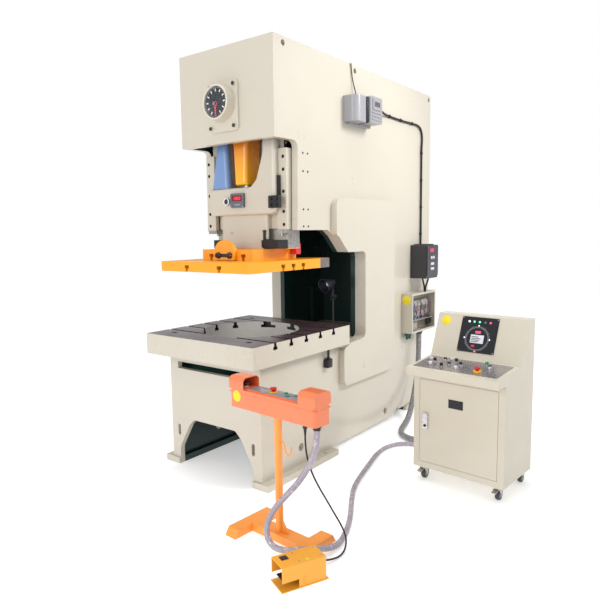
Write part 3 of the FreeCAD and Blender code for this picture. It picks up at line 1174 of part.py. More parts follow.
def main():
    os.makedirs("parts", exist_ok=True)
    save("frame", frame())
    save("bolster", bolster())
    save("bolster_bolts", bolster_bolts())
    save("gib_right", gib())
    save("gib_left", mirrored(gib()))
    save("gib_screws", gib_screws())
    save("bearing_bushes", bearing_bushes())
    save("dial_housing", dial_housing())
    save("flywheel_guard", flywheel_guard())
    save("drive_motor", drive_motor())
    save("v_belts", v_belts())
    save("cam_switch", cam_switch())
    save("side_loom", loom_parts())
    save("drive_box", drive_box())
    save("junction_box", junction_box())
    save("terminal_strips", terminal_strips())
    save("lamp_arm", lamp_arm())
    save("lamp_head", lamp_head())
    save("knockout_stops", knockout_stops())
    save("slide", slide())
    save("shank_clamp", shank_clamp())
    save("upper_die_plate", upper_die_plate())
    save("adjusting_motor", adjusting_motor())
    save("ball_seat", ball_seat())
    save("slide_gauges", slide_gauges())
    save("stroke_pointer", stroke_pointer())
    save("knockout_bar", knockout_bar())
    save("crankshaft", crankshaft())
    save("bull_gear", bull_gear())
    save("dial_pointer", dial_pointer())
    save("con_rod", con_rod())
    save("rod_cap", rod_cap())
    save("ball_screw", ball_screw())
    save("pinion_shaft", pinion_shaft())
    save("flywheel", flywheel())
    save("motor_pulley", motor_pulley())
    save("console_cabinet", console_cabinet())
    save("console_door", console_door())
    save("door_handle", door_handle())
    save("button_panel", button_panel())
    save("desk_buttons", desk_buttons())
    save("console_estop", console_estop())
    save("display_panel", display_panel())
    for side in ("rear_left", "rear_right"):
        save("caster_fork_" + side, at_caster(caster_fork(False), side))
        save("caster_wheel_" + side, at_caster(caster_wheel(), side))
    fronts = ("front_left", "front_right")
    save("front_caster_forks", Part.makeCompound([at_caster(caster_fork(True), s) for s in fronts]))
    save("front_caster_wheels", Part.makeCompound([at_caster(caster_wheel(), s) for s in fronts]))
    save("stand", stand())
    save("control_box", control_box())
    save("palm_button_left", palm_button(-1))
    save("palm_button_right", palm_button(1))
    save("stand_estop", stand_estop())
    save("pedal_case", pedal_case())
    save("foot_pedal", foot_pedal())
    save("cord_fittings", cord_fittings())
    save("trunk_conduit", route_tube("trunk", TRUNK_ROUTE, TRUNK))
    save("stand_conduit", route_tube("conduit", CONDUIT_ROUTE, CONDUIT))
    save("pedal_cable", route_tube("cable", CABLE_ROUTE, CABLE))


main()
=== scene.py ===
"""Finish of a C-frame crank press with its console, two-hand stand and foot switch.

Laid out as an add-on and run as a script. Metres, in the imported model's own frame:
+Z up, the operator stands at -Y and the console at +X.
"""

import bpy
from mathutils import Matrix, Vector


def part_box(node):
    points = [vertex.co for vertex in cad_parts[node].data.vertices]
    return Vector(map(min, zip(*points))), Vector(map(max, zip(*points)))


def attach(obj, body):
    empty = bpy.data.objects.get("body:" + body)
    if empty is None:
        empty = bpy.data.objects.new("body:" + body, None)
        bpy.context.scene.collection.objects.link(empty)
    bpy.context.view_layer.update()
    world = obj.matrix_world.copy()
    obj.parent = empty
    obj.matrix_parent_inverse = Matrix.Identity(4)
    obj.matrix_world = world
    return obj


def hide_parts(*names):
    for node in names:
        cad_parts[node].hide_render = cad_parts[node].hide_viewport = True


bl_info = {
    "name": "Stamping Press Finish",
    "version": (1, 0, 0),
    "blender": (4, 5, 0),
    "location": "3D View > Sidebar > Press",
    "description": "Paint, trim, wiring and stage of a crank press",
    "category": "Object",
}

import math
import random

import bmesh
import bpy
from bpy.props import FloatProperty, FloatVectorProperty, PointerProperty
from mathutils import Matrix, Vector

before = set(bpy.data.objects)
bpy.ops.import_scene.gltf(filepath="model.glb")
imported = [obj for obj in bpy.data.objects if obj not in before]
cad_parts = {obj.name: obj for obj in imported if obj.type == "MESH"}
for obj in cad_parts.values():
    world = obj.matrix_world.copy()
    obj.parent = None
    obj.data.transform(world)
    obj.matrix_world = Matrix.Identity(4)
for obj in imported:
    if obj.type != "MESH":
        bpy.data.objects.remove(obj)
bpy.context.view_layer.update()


def standing(place, axis, angle):
    """Place of a unit that is turned by an angle about one axis."""
    return Matrix.Translation(place) @ Matrix.Rotation(angle, 4, axis)


WORLD = Matrix.Identity(4)
CONSOLE = standing((1.177, 0.357, 0), "Z", math.radians(-4.78))
STAND = standing((0.934, -0.821, 0), "Z", math.radians(-4.65))
PEDAL = standing((1.160, -1.162, 0), "Z", math.radians(-25.0))
DESK = CONSOLE @ standing((0, -0.107, 0.814), "X", math.atan2(0.031, 0.331))
SLOPE = CONSOLE @ standing((0, 0.224, 0.845), "X", math.atan2(0.289, 0.115))
DISPLAY_FACE = 0.0041       # the display's front over the slope
STAND_TOP = 0.833           # the two-hand control's top over the floor
PEDAL_TOP = 0.1238          # the foot switch's top over the floor

# Centre lines of the cords, in millimetres
TRUNK_ROUTE = [
    (505, 1810, 752), (505, 1810, 640), (507, 1800, 500), (513, 1760, 355),
    (528, 1680, 215), (555, 1570, 110), (590, 1440, 42), (628, 1295, 26),
    (668, 1150, 26), (722, 1040, 26), (820, 985, 26), (940, 985, 26),
    (1060, 1010, 26), (1190, 1055, 26), (1325, 1088, 34), (1445, 1058, 72),
    (1516, 960, 125), (1526, 870, 150), (1520, 800, 150),
]
CONDUIT_ROUTE = [
    (1218, -844, 692), (1216, -846, 610), (1190, -858, 520), (1125, -884, 400),
    (1040, -912, 300), (985, -935, 225), (957, -958, 150), (975, -982, 92),
    (1030, -1003, 64), (1100, -1004, 64), (1165, -968, 70), (1222, -895, 64),
    (1258, -805, 36), (1262, -705, 18), (1215, -560, 18), (1145, -410, 18),
    (1040, -235, 18), (945, -60, 18), (885, 120, 18), (830, 330, 18),
    (770, 540, 18), (752, 700, 18), (788, 840, 18), (890, 915, 18),
    (1020, 932, 18), (1140, 972, 25), (1245, 1010, 52), (1335, 978, 102),
    (1368, 884, 148), (1363, 812, 150),
]
CABLE_ROUTE = [
    (1135, -838, 650), (1135, -838, 590), (1142, -830, 515), (1150, -805, 435),
    (1160, -760, 345), (1176, -706, 250), (1200, -664, 160), (1240, -648, 90),
    (1286, -672, 48), (1316, -732, 14), (1322, -800, 8), (1306, -866, 18),
    (1284, -917, 30), (1269, -950, 35),
]
# The desk's buttons over its width and depth, in millimetres, with their caps' colours
DESK_BUTTONS = [
    (66, 222, "white"), (112, 190, "black"), (156, 254, "black"), (205, 258, "white"),
    (246, 240, "black"), (118, 118, "white"), (226, 172, "black"), (202, 112, "black"),
    (306, 112, "white"), (300, 192, "black"), (498, 198, "white"), (446, 272, "green"),
]


# ---- settings ------------------------------------------------------------
def colour(name, description, default):
    return FloatVectorProperty(name=name, description=description, subtype="COLOR", size=3,
                               min=0.0, max=1.0, default=default)


def length(name, description, default):
    return FloatProperty(name=name, description=description, unit="LENGTH", default=default)


class PRESS_PG_camera(bpy.types.PropertyGroup):
    place: FloatVectorProperty(name="Place", description="Where the camera stands",
                               subtype="TRANSLATION", unit="LENGTH", default=(2.945, -3.231, 1.714))
    turn: FloatVectorProperty(name="Turn", description="Pitch, roll and heading of the camera",
                              subtype="EULER", unit="ROTATION",
                              default=tuple(math.radians(a) for a in (83.481, -0.7625, 37.447)))
    lens: FloatProperty(name="Lens", description="Focal length on a 36 mm sensor",
                        unit="CAMERA", default=35.03)


class PRESS_PG_paint(bpy.types.PropertyGroup):
    cream: colour("Cream enamel", "Frame, guides and slide", (0.57, 0.525, 0.440))
    orange: colour("Orange enamel", "Die plate, flange and stand", (0.90, 0.35, 0.010))
    yellow: colour("Yellow enamel", "Connecting rod", (0.92, 0.43, 0.010))
    blue: colour("Blue enamel", "Adjusting motor's cowl", (0.17, 0.29, 0.55))
    stand: colour("Light orange enamel", "Stand of the two-hand control", (0.95, 0.33, 0.045))
    pedal: colour("Amber enamel", "Foot switch", (0.93, 0.41, 0.03))
    # Near black: dark green paint that also stands for the shade inside the frame's hollows.
    green: colour("Dark green primer", "Inside of the frame", (0.008, 0.030, 0.026))
    grey: colour("Grey enamel", "Cam switch and dial", (0.31, 0.31, 0.335))
    console: colour("Console enamel", "Console cabinet and door", (0.60, 0.555, 0.455))
    steel: colour("Oiled steel", "Bolster's worked faces", (0.070, 0.043, 0.048))


class PRESS_PG_conduit(bpy.types.PropertyGroup):
    trunk: length("Trunk", "Outer diameter of the trunk conduit", 0.05)
    branch: length("Branch", "Outer diameter of the stand's conduit", 0.034)
    cable: length("Cable", "Diameter of the foot switch's cable", 0.010)
    pitch: length("Pitch", "From one ring of a conduit to the next", 0.009)


# ---- shader maths --------------------------------------------------------
class Value:
    """A shader socket that takes part in ordinary sums."""

    def __init__(self, shader, socket):
        self.shader, self.socket = shader, socket

    def math(self, operation, *values):
        return self.shader.node("ShaderNodeMath", {"operation": operation}, *values)

    def __add__(self, other):
        return self.math("ADD", self, other)

    def __sub__(self, other):
        return self.math("SUBTRACT", self, other)

    def __rsub__(self, other):
        return self.math("SUBTRACT", other, self)

    def __mul__(self, other):
        return self.math("MULTIPLY", self, other)

    def __gt__(self, other):
        return self.math("GREATER_THAN", self, other)

    def __lt__(self, other):
        return self.math("LESS_THAN", self, other)

    __radd__, __rmul__ = __add__, __mul__


class Shader:
    """A material in the making."""

    def __init__(self, name, **constants):
        self.material = bpy.data.materials.new(name)
        self.material.use_nodes = True
        self.tree = self.material.node_tree
        self.surface = self.tree.nodes["Principled BSDF"]
        for socket, number in constants.items():
            self.surface.inputs[socket.replace("_", " ")].default_value = number

    def node(self, kind, settings=None, *values, out=0, **named):
        """Adds a node: its settings first, then its sockets by order or by name."""
        made = self.tree.nodes.new(kind)
        for key, setting in (settings or {}).items():
            if key == "stops":
                while len(made.color_ramp.elements) < len(setting):
                    made.color_ramp.elements.new(0.5)
                for stop, (place, shade) in zip(made.color_ramp.elements, setting):
                    stop.position, stop.color = place, (*shade, 1)
            else:
                setattr(made, key, setting)
        pairs = list(enumerate(values)) + [(key.replace("_", " "), value) for key, value in named.items()]
        for key, value in pairs:
            if isinstance(value, Value):
                self.tree.links.new(value.socket, made.inputs[key])
            elif value is not None:
                made.inputs[key].default_value = value
        return Value(self, made.outputs[out])

    def feed(self, socket, value):
        self.tree.links.new(value.socket, self.surface.inputs[socket])

    def place(self, scale=(1, 1, 1)):
        """The point on the piece, in metres."""
        here = self.node("ShaderNodeTexCoord", out="Object")
        return self.node("ShaderNodeMapping", None, here, Scale=scale)

    def parts(self, vector):
        outputs = self.node("ShaderNodeSeparateXYZ", None, vector).socket.node.outputs
        return [Value(self, outputs[k]) for k in range(3)]

    def axes(self):
        return self.parts(self.place())

    def facing(self):
        """Size of the surface normal along each axis."""
        normal = self.node("ShaderNodeNewGeometry", out="Normal")
        return self.parts(self.node("ShaderNodeVectorMath", {"operation": "ABSOLUTE"}, normal))

    def noise(self, scale, detail=3.0, stretch=(1, 1, 1), rough=0.55):
        return self.node("ShaderNodeTexNoise", None, Vector=self.place(stretch), Scale=scale, Detail=detail,
                         Roughness=rough)

    def spread(self, value, low, high, to_low=0.0, to_high=1.0):
        """Value carried from one range to another and held at its ends."""
        return self.node("ShaderNodeMapRange", {"clamp": True}, value, low, high, to_low, to_high)

    def mix(self, factor, first, second, blend="MIX"):
        mixed = self.tree.nodes.new("ShaderNodeMix")
        mixed.data_type, mixed.blend_type = "RGBA", blend
        for index, value in ((0, factor), (6, first), (7, second)):
            socket = mixed.inputs[index]
            if isinstance(value, Value):
                self.tree.links.new(value.socket, socket)
            elif isinstance(value, (int, float)):
                socket.default_value = value
            else:
                socket.default_value = (*tuple(value)[:3], 1)
        return Value(self, mixed.outputs[2])

    def bump(self, height, strength, distance):
        self.feed("Normal", self.node("ShaderNodeBump", None, Strength=strength, Distance=distance,
                                      Height=height))


def tint(base, factor):
    return tuple(min(1.0, part * factor) for part in base)


def grimed(shader, base, amount=0.35, scale=2.2):
    """Paint that is a little darker in broad patches and finer specks."""
    broad = shader.spread(shader.noise(scale, 2), 0.25, 0.80)
    fine = shader.spread(shader.noise(scale * 30, 2), 0.62, 0.80)
    first = shader.mix(broad * amount, base, tint(base, 0.84))
    return shader.mix(fine * (amount * 0.5), first, tint(base, 0.66))


def enamel(name, base, gloss=0.34, peel=0.0006, coat=0.35):
    """Sprayed machine enamel with orange peel and a little shop dirt."""
    shader = Shader(name, Coat_Roughness=0.12, IOR=1.5)
    shader.feed("Base Color", grimed(shader, base))
    patches = shader.noise(6, 3)
    shader.feed("Roughness", shader.spread(patches, 0.3, 0.7, gloss, gloss + 0.16))
    shader.surface.inputs["Coat Weight"].default_value = coat
    shader.bump(shader.noise(260, 2) * 0.6 + shader.noise(18, 3) * 0.4, 0.10, peel)
    return shader.material


def frame_enamel(paint):
    """Cream outside, dark green inside the frame; the inside's near-black darkness is painted shade of the
    frame's hollows.
    """
    shader = Shader("frame_cream_enamel", Coat_Roughness=0.10, IOR=1.5)
    x, y, z = shader.axes()
    head, bed_top, bed_base = 2.30, 0.854, 0.852
    head_front, bed_front, rear_wall, roof = -0.171, -0.372, 2.045, 2.9595
    half = x.math("ABSOLUTE", x)
    behind_front = ((z > head) * (y > head_front) + (z < bed_base) * (y > bed_front)
                    + (z > bed_top) * (z < head))
    between_sides = half < 0.3966
    low_leg = (y > 1.60) * (z < 1.2) * (half > 0.38)
    inside = between_sides * behind_front * (z < roof) * (y < rear_wall) * (1 - low_leg)
    inside = inside.math("MINIMUM", inside, 1.0)
    # Painted shade: the inside is dark green made near black, standing for the shade in the frame's
    # hollows.
    primer_and_shade = grimed(shader, tuple(paint.green), 0.5, 3.0)
    cream = grimed(shader, tuple(paint.cream), 0.22, 1.3)
    scuffs = shader.spread(shader.noise(9, 5, (1, 1, 0.35)), 0.64, 0.74) * shader.spread(z, 0.5, 0.0) * 0.5
    cream = shader.mix(scuffs, cream, (0.30, 0.27, 0.22))
    shader.feed("Base Color", shader.mix(inside, cream, primer_and_shade))
    shader.feed("Roughness", shader.spread(shader.noise(4, 3), 0.3, 0.7, 0.27, 0.42))
    shader.feed("Coat Weight", 0.45 - inside * 0.35)
    shader.bump(shader.noise(240, 2) * 0.35 + shader.noise(7, 3) * 0.65, 0.12, 0.0016)
    return shader.material


def slide_enamel(paint):
    """Cream slide with an orange flange and scraped bearing faces at its sides."""
    shader = Shader("slide_cream_enamel", Coat_Roughness=0.12, IOR=1.5)
    x, y, z = shader.axes()
    side, _, _ = shader.facing()
    half = x.math("ABSOLUTE", x)
    flange_top, way_half, way_front, back_half, back = 1.6085, 0.3045, -0.036, 0.24, 0.155
    ways = (half > way_half) * (y > way_front) * (side > 0.5) + (half > back_half) * (y > back)
    ways = ways.math("MINIMUM", ways, 1.0) * (z > flange_top + 0.0015)
    cream, orange = grimed(shader, tuple(paint.cream), 0.25), grimed(shader, tuple(paint.orange), 0.3)
    painted = shader.mix(z < flange_top, cream, orange)
    scraped = shader.spread(shader.noise(55, 2), 0.35, 0.65)
    steel = shader.mix(scraped, (0.30, 0.29, 0.28), (0.48, 0.47, 0.45))
    shader.feed("Base Color", shader.mix(ways, painted, steel))
    shader.feed("Metallic", ways * 1.0)
    shader.feed("Roughness", shader.spread(shader.noise(7, 3), 0.3, 0.7, 0.30, 0.42))
    shader.feed("Coat Weight", 0.35 - ways * 0.35)
    shader.bump(shader.noise(240, 2) * 0.5 + shader.noise(12, 3) * 0.5, 0.12, 0.0008)
    return shader.material


def rod_enamel(paint):
    """Yellow rod that turns a darker orange towards its top, as painted shade under the head."""
    shader = Shader("rod_yellow_enamel", Coat_Roughness=0.10, IOR=1.5)
    _, _, z = shader.axes()
    # Painted shade: the rod darkens to orange towards its top, where the head above shades it.
    height = shader.spread(z + shader.noise(5, 3) * 0.16 - 0.08, 2.10, 2.38)
    low, high = grimed(shader, tuple(paint.yellow), 0.3, 4), grimed(shader, (0.72, 0.20, 0.012), 0.3, 4)
    shader.feed("Base Color", shader.mix(height, low, high))
    shader.feed("Roughness", shader.spread(shader.noise(7, 3), 0.3, 0.7, 0.22, 0.34))
    shader.surface.inputs["Coat Weight"].default_value = 0.5
    shader.bump(shader.noise(240, 2), 0.10, 0.0006)
    return shader.material


def die_plate_enamel(paint):
    """Orange plate whose slots, underside and rear edges are left bare."""
    shader = Shader("die_plate_orange_enamel", Coat_Roughness=0.15, IOR=1.5)
    underside, top, rear = 1.4575, 1.5265, 0.315
    _, y, z = shader.axes()
    _, _, upright = shader.facing()
    chips = shader.spread(shader.noise(30, 4), 0.66, 0.70)
    edge = (z > underside - 0.0001) * (z < top) * (y > rear)
    bare = (z < underside) + edge + chips * (z < underside + 0.0065)
    slots = (z < top - 0.001) * (upright > 0.5)
    bare = (bare + slots).math("MINIMUM", bare + slots, 1.0)
    steel = shader.mix(shader.noise(24, 4, (1, 8, 1)), (0.16, 0.14, 0.14), (0.36, 0.34, 0.33))
    shader.feed("Base Color", shader.mix(bare, grimed(shader, tuple(paint.orange), 0.35, 5), steel))
    shader.feed("Metallic", bare * 1.0)
    shader.feed("Roughness", shader.spread(shader.noise(9, 3), 0.3, 0.7, 0.30, 0.46))
    shader.bump(shader.noise(200, 2), 0.12, 0.0006)
    return shader.material


def worked_steel(name, dark, light, scale=30.0, along=(1, 12, 1), rough=0.32, metallic=1.0):
    """Milled or ground steel with tool marks along one axis and oil stains."""
    shader = Shader(name, Metallic=metallic)
    marks = shader.noise(scale, 4, along)
    stains = shader.spread(shader.noise(3.5, 5), 0.45, 0.7)
    base = shader.mix(shader.spread(marks, 0.35, 0.65), dark, light)
    shader.feed("Base Color", shader.mix(stains * 0.45, base, tint(dark, 0.7)))
    shader.feed("Roughness", shader.spread(marks, 0.3, 0.7, rough - 0.07, rough + 0.12))
    shader.bump(marks, 0.18, 0.0004)
    return shader.material


def bolster_steel(paint):
    """Oiled, milled top and sides of the bolster, with turned light walls in the hole."""
    shader = Shader("bolster_oiled_steel", Metallic=0.0, IOR=1.6)
    x, y, z = shader.axes()
    _, _, upright = shader.facing()
    hole_radius, half_width, half_depth = 0.366, 0.5215, 0.559
    radius = x.math("SQRT", x * x + y * y)
    hole = (radius < hole_radius) * (upright < 0.5)
    outer = (x.math("ABSOLUTE", x) > half_width) + (y.math("ABSOLUTE", y) > half_depth)
    outer = outer.math("MINIMUM", outer, 1.0)
    top = (upright > 0.5) * (z > 1.0)
    marks = shader.noise(26, 5, (9, 1, 1))
    oil = shader.spread(shader.noise(2.6, 5), 0.35, 0.68)
    dark, light = tint(paint.steel, 0.75), tint(paint.steel, 1.35)
    plate = shader.mix(oil, shader.mix(marks, dark, light), tint(paint.steel, 1.9))
    front = grimed(shader, tuple(paint.cream), 0.2, 2)
    turned = shader.mix(shader.noise(60, 2, (1, 1, 14)), (0.50, 0.48, 0.44), (0.66, 0.64, 0.60))
    slots = shader.mix(shader.noise(40, 3), (0.018, 0.014, 0.016), (0.045, 0.032, 0.036))
    sides = shader.mix(hole, shader.mix(outer, slots, front), turned)
    shader.feed("Base Color", shader.mix(top, sides, plate))
    shader.feed("Metallic", top * 0.35)
    shader.feed("Roughness", shader.spread(oil, 0.0, 1.0, 0.34, 0.20))
    shader.bump(marks * 0.6 + shader.noise(150, 2) * 0.4, 0.12, 0.0006)
    return shader.material


def plastic(name, base, rough=0.42, grain=600.0, **constants):
    """Moulded plastic or rubber with a fine grain."""
    shader = Shader(name, IOR=1.46, **constants)
    mottle = shader.spread(shader.noise(8, 3), 0.4, 0.7)
    shader.feed("Base Color", shader.mix(mottle, base, tint(base, 0.8)))
    shader.feed("Roughness", shader.spread(shader.noise(12, 2), 0.3, 0.7, rough - 0.05, rough + 0.08))
    shader.bump(shader.noise(grain, 1), 0.12, 0.0003)
    return shader.material


def glowing(name, base, light):
    """Lit plastic such as a lamp's cap or a display's digits."""
    shader = Shader(name, Emission_Strength=light)
    shaded = shader.mix(shader.noise(90, 1), base, tint(base, 0.85))
    shader.feed("Base Color", shaded)
    shader.feed("Emission Color", shaded)
    return shader.material


def clear_glass(name):
    shader = Shader(name, Roughness=0.04, IOR=1.45)
    shader.feed("Base Color", shader.mix(shader.noise(5, 1), (0.85, 0.9, 0.95), (0.75, 0.8, 0.86)))
    shader.feed("Alpha", shader.spread(shader.noise(7, 1), 0, 1, 0.02, 0.06))
    return shader.material


def conduit_skin(name, dark, light, gloss=0.26):
    """Ribbed grey conduit in a thin glossy skin, with painted glints: its colour is lighter in the creases.
    """
    shader = Shader(name, IOR=1.5, Coat_Roughness=0.08)
    creases = shader.noise(45, 5, (1, 1, 1), 0.7)
    # Painted highlight: the creases' noise lightens the colour towards the glint colour.
    painted_glints = shader.spread(creases, 0.56, 0.66)
    skin = shader.mix(shader.noise(12, 3), dark, tint(dark, 1.8))
    shader.feed("Base Color", shader.mix(painted_glints * 0.75, skin, light))
    shader.feed("Roughness", shader.spread(creases, 0.3, 0.7, gloss, gloss + 0.25))
    shader.surface.inputs["Coat Weight"].default_value = 0.6
    shader.bump(creases, 0.5, 0.0025)
    return shader.material


# ---- modelling -----------------------------------------------------------
def clear():
    """Object mode with nothing selected."""
    if bpy.context.object and bpy.context.object.mode != "OBJECT":
        bpy.ops.object.mode_set(mode="OBJECT")
    bpy.ops.object.select_all(action="DESELECT")


def settle(piece, where=WORLD):
    """Puts the piece's place into its mesh."""
    clear()
    piece.matrix_world = where @ piece.matrix_world
    piece.select_set(True)
    bpy.context.view_layer.objects.active = piece
    bpy.ops.object.transform_apply(location=True, rotation=True, scale=True)
    return piece


def modify(piece, kind, **settings):
    """Adds a modifier and applies it."""
    clear()
    bpy.context.view_layer.objects.active = piece
    piece.select_set(True)
    modifier = piece.modifiers.new(kind.title(), kind)
    for key, value in settings.items():
        setattr(modifier, key, value)
    bpy.ops.object.modifier_apply(modifier=modifier.name)
    return piece


def edit(piece, test):
    """Edit mode with the faces selected whose centre and normal pass the test."""
    clear()
    bpy.context.view_layer.objects.active = piece
    piece.select_set(True)
    bpy.ops.object.mode_set(mode="EDIT")
    bpy.ops.mesh.select_mode(type="FACE")
    bpy.ops.mesh.select_all(action="DESELECT")
    mesh = bmesh.from_edit_mesh(piece.data)
    for face in mesh.faces:
        face.select_set(test(face.calc_center_median(), face.normal))
    bmesh.update_edit_mesh(piece.data)


def sink(piece, test, rim, shift):
    """Insets the faces that pass the test and moves them in or out."""
    edit(piece, test)
    bpy.ops.mesh.inset(thickness=rim)
    bpy.ops.transform.translate(value=shift)
    bpy.ops.object.mode_set(mode="OBJECT")


def block(name, low, high, bevel=0.002, turn=(0, 0, 0), segments=2):
    """Box between two corners, turned about its own middle, with rounded edges."""
    low, high = Vector(low), Vector(high)
    clear()
    bpy.ops.mesh.primitive_cube_add(size=1, location=(low + high) / 2, rotation=turn, scale=high - low)
    piece = bpy.context.object
    piece.name = piece.data.name = name
    settle(piece)
    if bevel:
        modify(piece, "BEVEL", width=bevel, segments=segments, limit_method="ANGLE")
    return piece


def drum(name, centre, radius, depth, axis="Z", sides=32, bevel=0.001, rim=0.0, dish=0.0):
    """Round boss whose outer end can be inset and sunk or raised, standing on its centre point."""
    turn = {"Z": (0, 0, 0), "-Y": (math.pi / 2, 0, 0), "X": (0, math.pi / 2, 0)}[axis]
    out = Matrix.Rotation(turn[0], 4, "X") @ Matrix.Rotation(turn[1], 4, "Y") @ Vector((0, 0, 1))
    clear()
    bpy.ops.mesh.primitive_cylinder_add(vertices=sides, radius=radius, depth=depth,
                                        location=Vector(centre) + out * depth / 2, rotation=turn)
    piece = bpy.context.object
    piece.name = piece.data.name = name
    settle(piece)
    if bevel:
        modify(piece, "BEVEL", width=bevel, segments=2, limit_method="ANGLE")
    if rim:
        end = (Vector(centre) + out * depth * 0.99).dot(out)
        sink(piece, lambda at, normal: normal.dot(out) > 0.9 and at.dot(out) > end, rim, out * -dish)
    return piece


def merge(name, pieces):
    """One piece of several."""
    clear()
    for piece in pieces:
        piece.select_set(True)
    bpy.context.view_layer.objects.active = pieces[0]
    if len(pieces) > 1:
        bpy.ops.object.join()
    merged = bpy.context.object
    merged.name = merged.data.name = name
    return merged


def smooth(piece, angle=35):
    clear()
    piece.select_set(True)
    bpy.context.view_layer.objects.active = piece
    bpy.ops.object.shade_smooth_by_angle(angle=math.radians(angle))
    return piece


def fit(piece, material, body, where=WORLD):
    """Places, paints and hangs a finished piece on its body."""
    settle(piece, where)
    if piece.type == "MESH":
        smooth(piece)
    piece.data.materials.clear()
    piece.data.materials.append(material)
    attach(piece, body)
    return piece


def paint(material, nodes):
    """Gives a material to the CAD nodes of a list of names."""
    for node in nodes.split():
        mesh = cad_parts[node].data
        mesh.materials.clear()
        mesh.materials.append(material)


def spline(name, points, depth=0.0, sides=6):
    """Smooth open curve with the points as its control points, in millimetres."""
    data = bpy.data.curves.new(name, "CURVE")
    data.dimensions = "3D"
    data.bevel_depth, data.bevel_resolution = depth, sides
    data.use_fill_caps = depth > 0
    line = data.splines.new("NURBS")
    line.points.add(len(points) - 1)
    for point, place in zip(line.points, points):
        point.co = (*(part / 1000 for part in place), 1)
    line.order_u, line.resolution_u = 3, 12
    line.use_endpoint_u = True
    piece = bpy.data.objects.new(name, data)
    bpy.context.scene.collection.objects.link(piece)
    return piece


def centreline(points):
    """Points along the smooth curve, close together."""
    guide = spline("guide", points)
    bpy.context.view_layer.update()
    mesh = bpy.data.meshes.new_from_object(guide)
    line = [vertex.co.copy() for vertex in mesh.vertices]
    bpy.data.objects.remove(guide)
    bpy.data.meshes.remove(mesh)
    return line


def even_points(line, step):
    """The same line with its points evenly spaced."""
    lengths = [(b - a).length for a, b in zip(line, line[1:])]
    total = sum(lengths)
    count = max(2, round(total / step))
    spaced, run, index = [], 0.0, 0
    for k in range(count + 1):
        goal = total * k / count
        while index < len(lengths) - 1 and run + lengths[index] < goal:
            run += lengths[index]
            index += 1
        share = (goal - run) / lengths[index]
        spaced.append(line[index].lerp(line[index + 1], min(1.0, share)))
    return spaced, total


def ribbed_tube(name, points, diameter, pitch, depth=0.07, sides=14):
    """Conduit swept along the curve, its radius rising and falling once each pitch."""
    path, length = even_points(centreline(points), pitch / 3)
    mesh = bmesh.new()
    rings, side = [], Vector((1, 0, 0))
    for k, here in enumerate(path):
        ahead = (path[min(k + 1, len(path) - 1)] - path[max(k - 1, 0)]).normalized()
        side = (side - ahead * side.dot(ahead)).normalized()
        up = ahead.cross(side)
        radius = diameter / 2 * (1 - depth * (k % 3 == 1))
        rings.append([mesh.verts.new(here + (side * math.cos(a) + up * math.sin(a)) * radius)
                      for a in (2 * math.pi * j / sides for j in range(sides))])
    for low, high in zip(rings, rings[1:]):
        for j in range(sides):
            mesh.faces.new((low[j], low[(j + 1) % sides], high[(j + 1) % sides], high[j]))
    mesh.faces.new(rings[0][::-1])
    mesh.faces.new(rings[-1])
    data = bpy.data.meshes.new(name)
    mesh.to_mesh(data)
    mesh.free()
    piece = bpy.data.objects.new(name, data)
    bpy.context.scene.collection.objects.link(piece)
    return piece, path, length


# ---- operators -----------------------------------------------------------
class PRESS_OT_stage(bpy.types.Operator):
    """Floor, soft studio light and the camera"""
    bl_idname = "press.stage"
    bl_label = "Stage"

    def execute(self, context):
        scene = context.scene
        clear()
        bpy.ops.mesh.primitive_plane_add(size=60, location=(0, 0, 0))
        floor = bpy.context.object
        floor.name = "floor"
        shader = Shader("studio_floor", Roughness=0.75, Emission_Strength=0.34)
        shader.surface.inputs["Emission Color"].default_value = (1, 1, 1, 1)
        shader.feed("Base Color", shader.mix(shader.noise(0.6, 2), (0.93, 0.93, 0.93), (0.90, 0.90, 0.90)))
        floor.data.materials.append(shader.material)
        self.sky(scene)
        lamps = {"key": ("SPOT", (4.3, 2.0, 4.4), (0.45, 0.85, 2.15), 780),
                 "front": ("AREA", (0.9, -6.5, 2.9), (0.2, 0, 1.4), 150),
                 "top": ("AREA", (0.5, 0.2, 6.2), (0.2, 0.5, 0.0), 110)}
        for name, (kind, place, aim, power) in lamps.items():
            data = bpy.data.lights.new(name, kind)
            data.energy = power
            if kind == "SPOT":
                data.spot_size, data.spot_blend, data.shadow_soft_size = math.radians(48), 0.45, 0.9
            else:
                data.shape, data.size = "DISK", 3.5
            lamp = bpy.data.objects.new(name, data)
            lamp.location = place
            lamp.rotation_euler = (Vector(aim) - Vector(place)).to_track_quat("-Z", "Y").to_euler()
            scene.collection.objects.link(lamp)
        settings = scene.press_camera
        data = bpy.data.cameras.new("camera")
        data.lens, data.sensor_width = settings.lens, 36.0
        camera = bpy.data.objects.new("camera", data)
        pitch, roll, heading = settings.turn
        turn = Matrix.Rotation(pitch, 4, "X") @ Matrix.Rotation(roll, 4, "Z")
        camera.matrix_world = standing(settings.place, "Z", heading) @ turn
        scene.collection.objects.link(camera)
        scene.camera = camera
        scene.view_settings.view_transform = "Standard"
        return {"FINISHED"}

    def sky(self, scene):
        """White studio whose light is a little dimmer than it looks."""
        world = bpy.data.worlds.new("studio")
        scene.world = world
        world.use_nodes = True
        tree = world.node_tree
        light = tree.nodes["Background"]
        light.inputs["Color"].default_value, light.inputs["Strength"].default_value = (1, 1, 1, 1), 0.72
        seen = tree.nodes.new("ShaderNodeBackground")
        seen.inputs["Color"].default_value, seen.inputs["Strength"].default_value = (1, 1, 1, 1), 1.0
        path, mixed = tree.nodes.new("ShaderNodeLightPath"), tree.nodes.new("ShaderNodeMixShader")
        tree.links.new(path.outputs["Is Camera Ray"], mixed.inputs[0])
        tree.links.new(light.outputs[0], mixed.inputs[1])
        tree.links.new(seen.outputs[0], mixed.inputs[2])
        tree.links.new(mixed.outputs[0], tree.nodes["World Output"].inputs["Surface"])


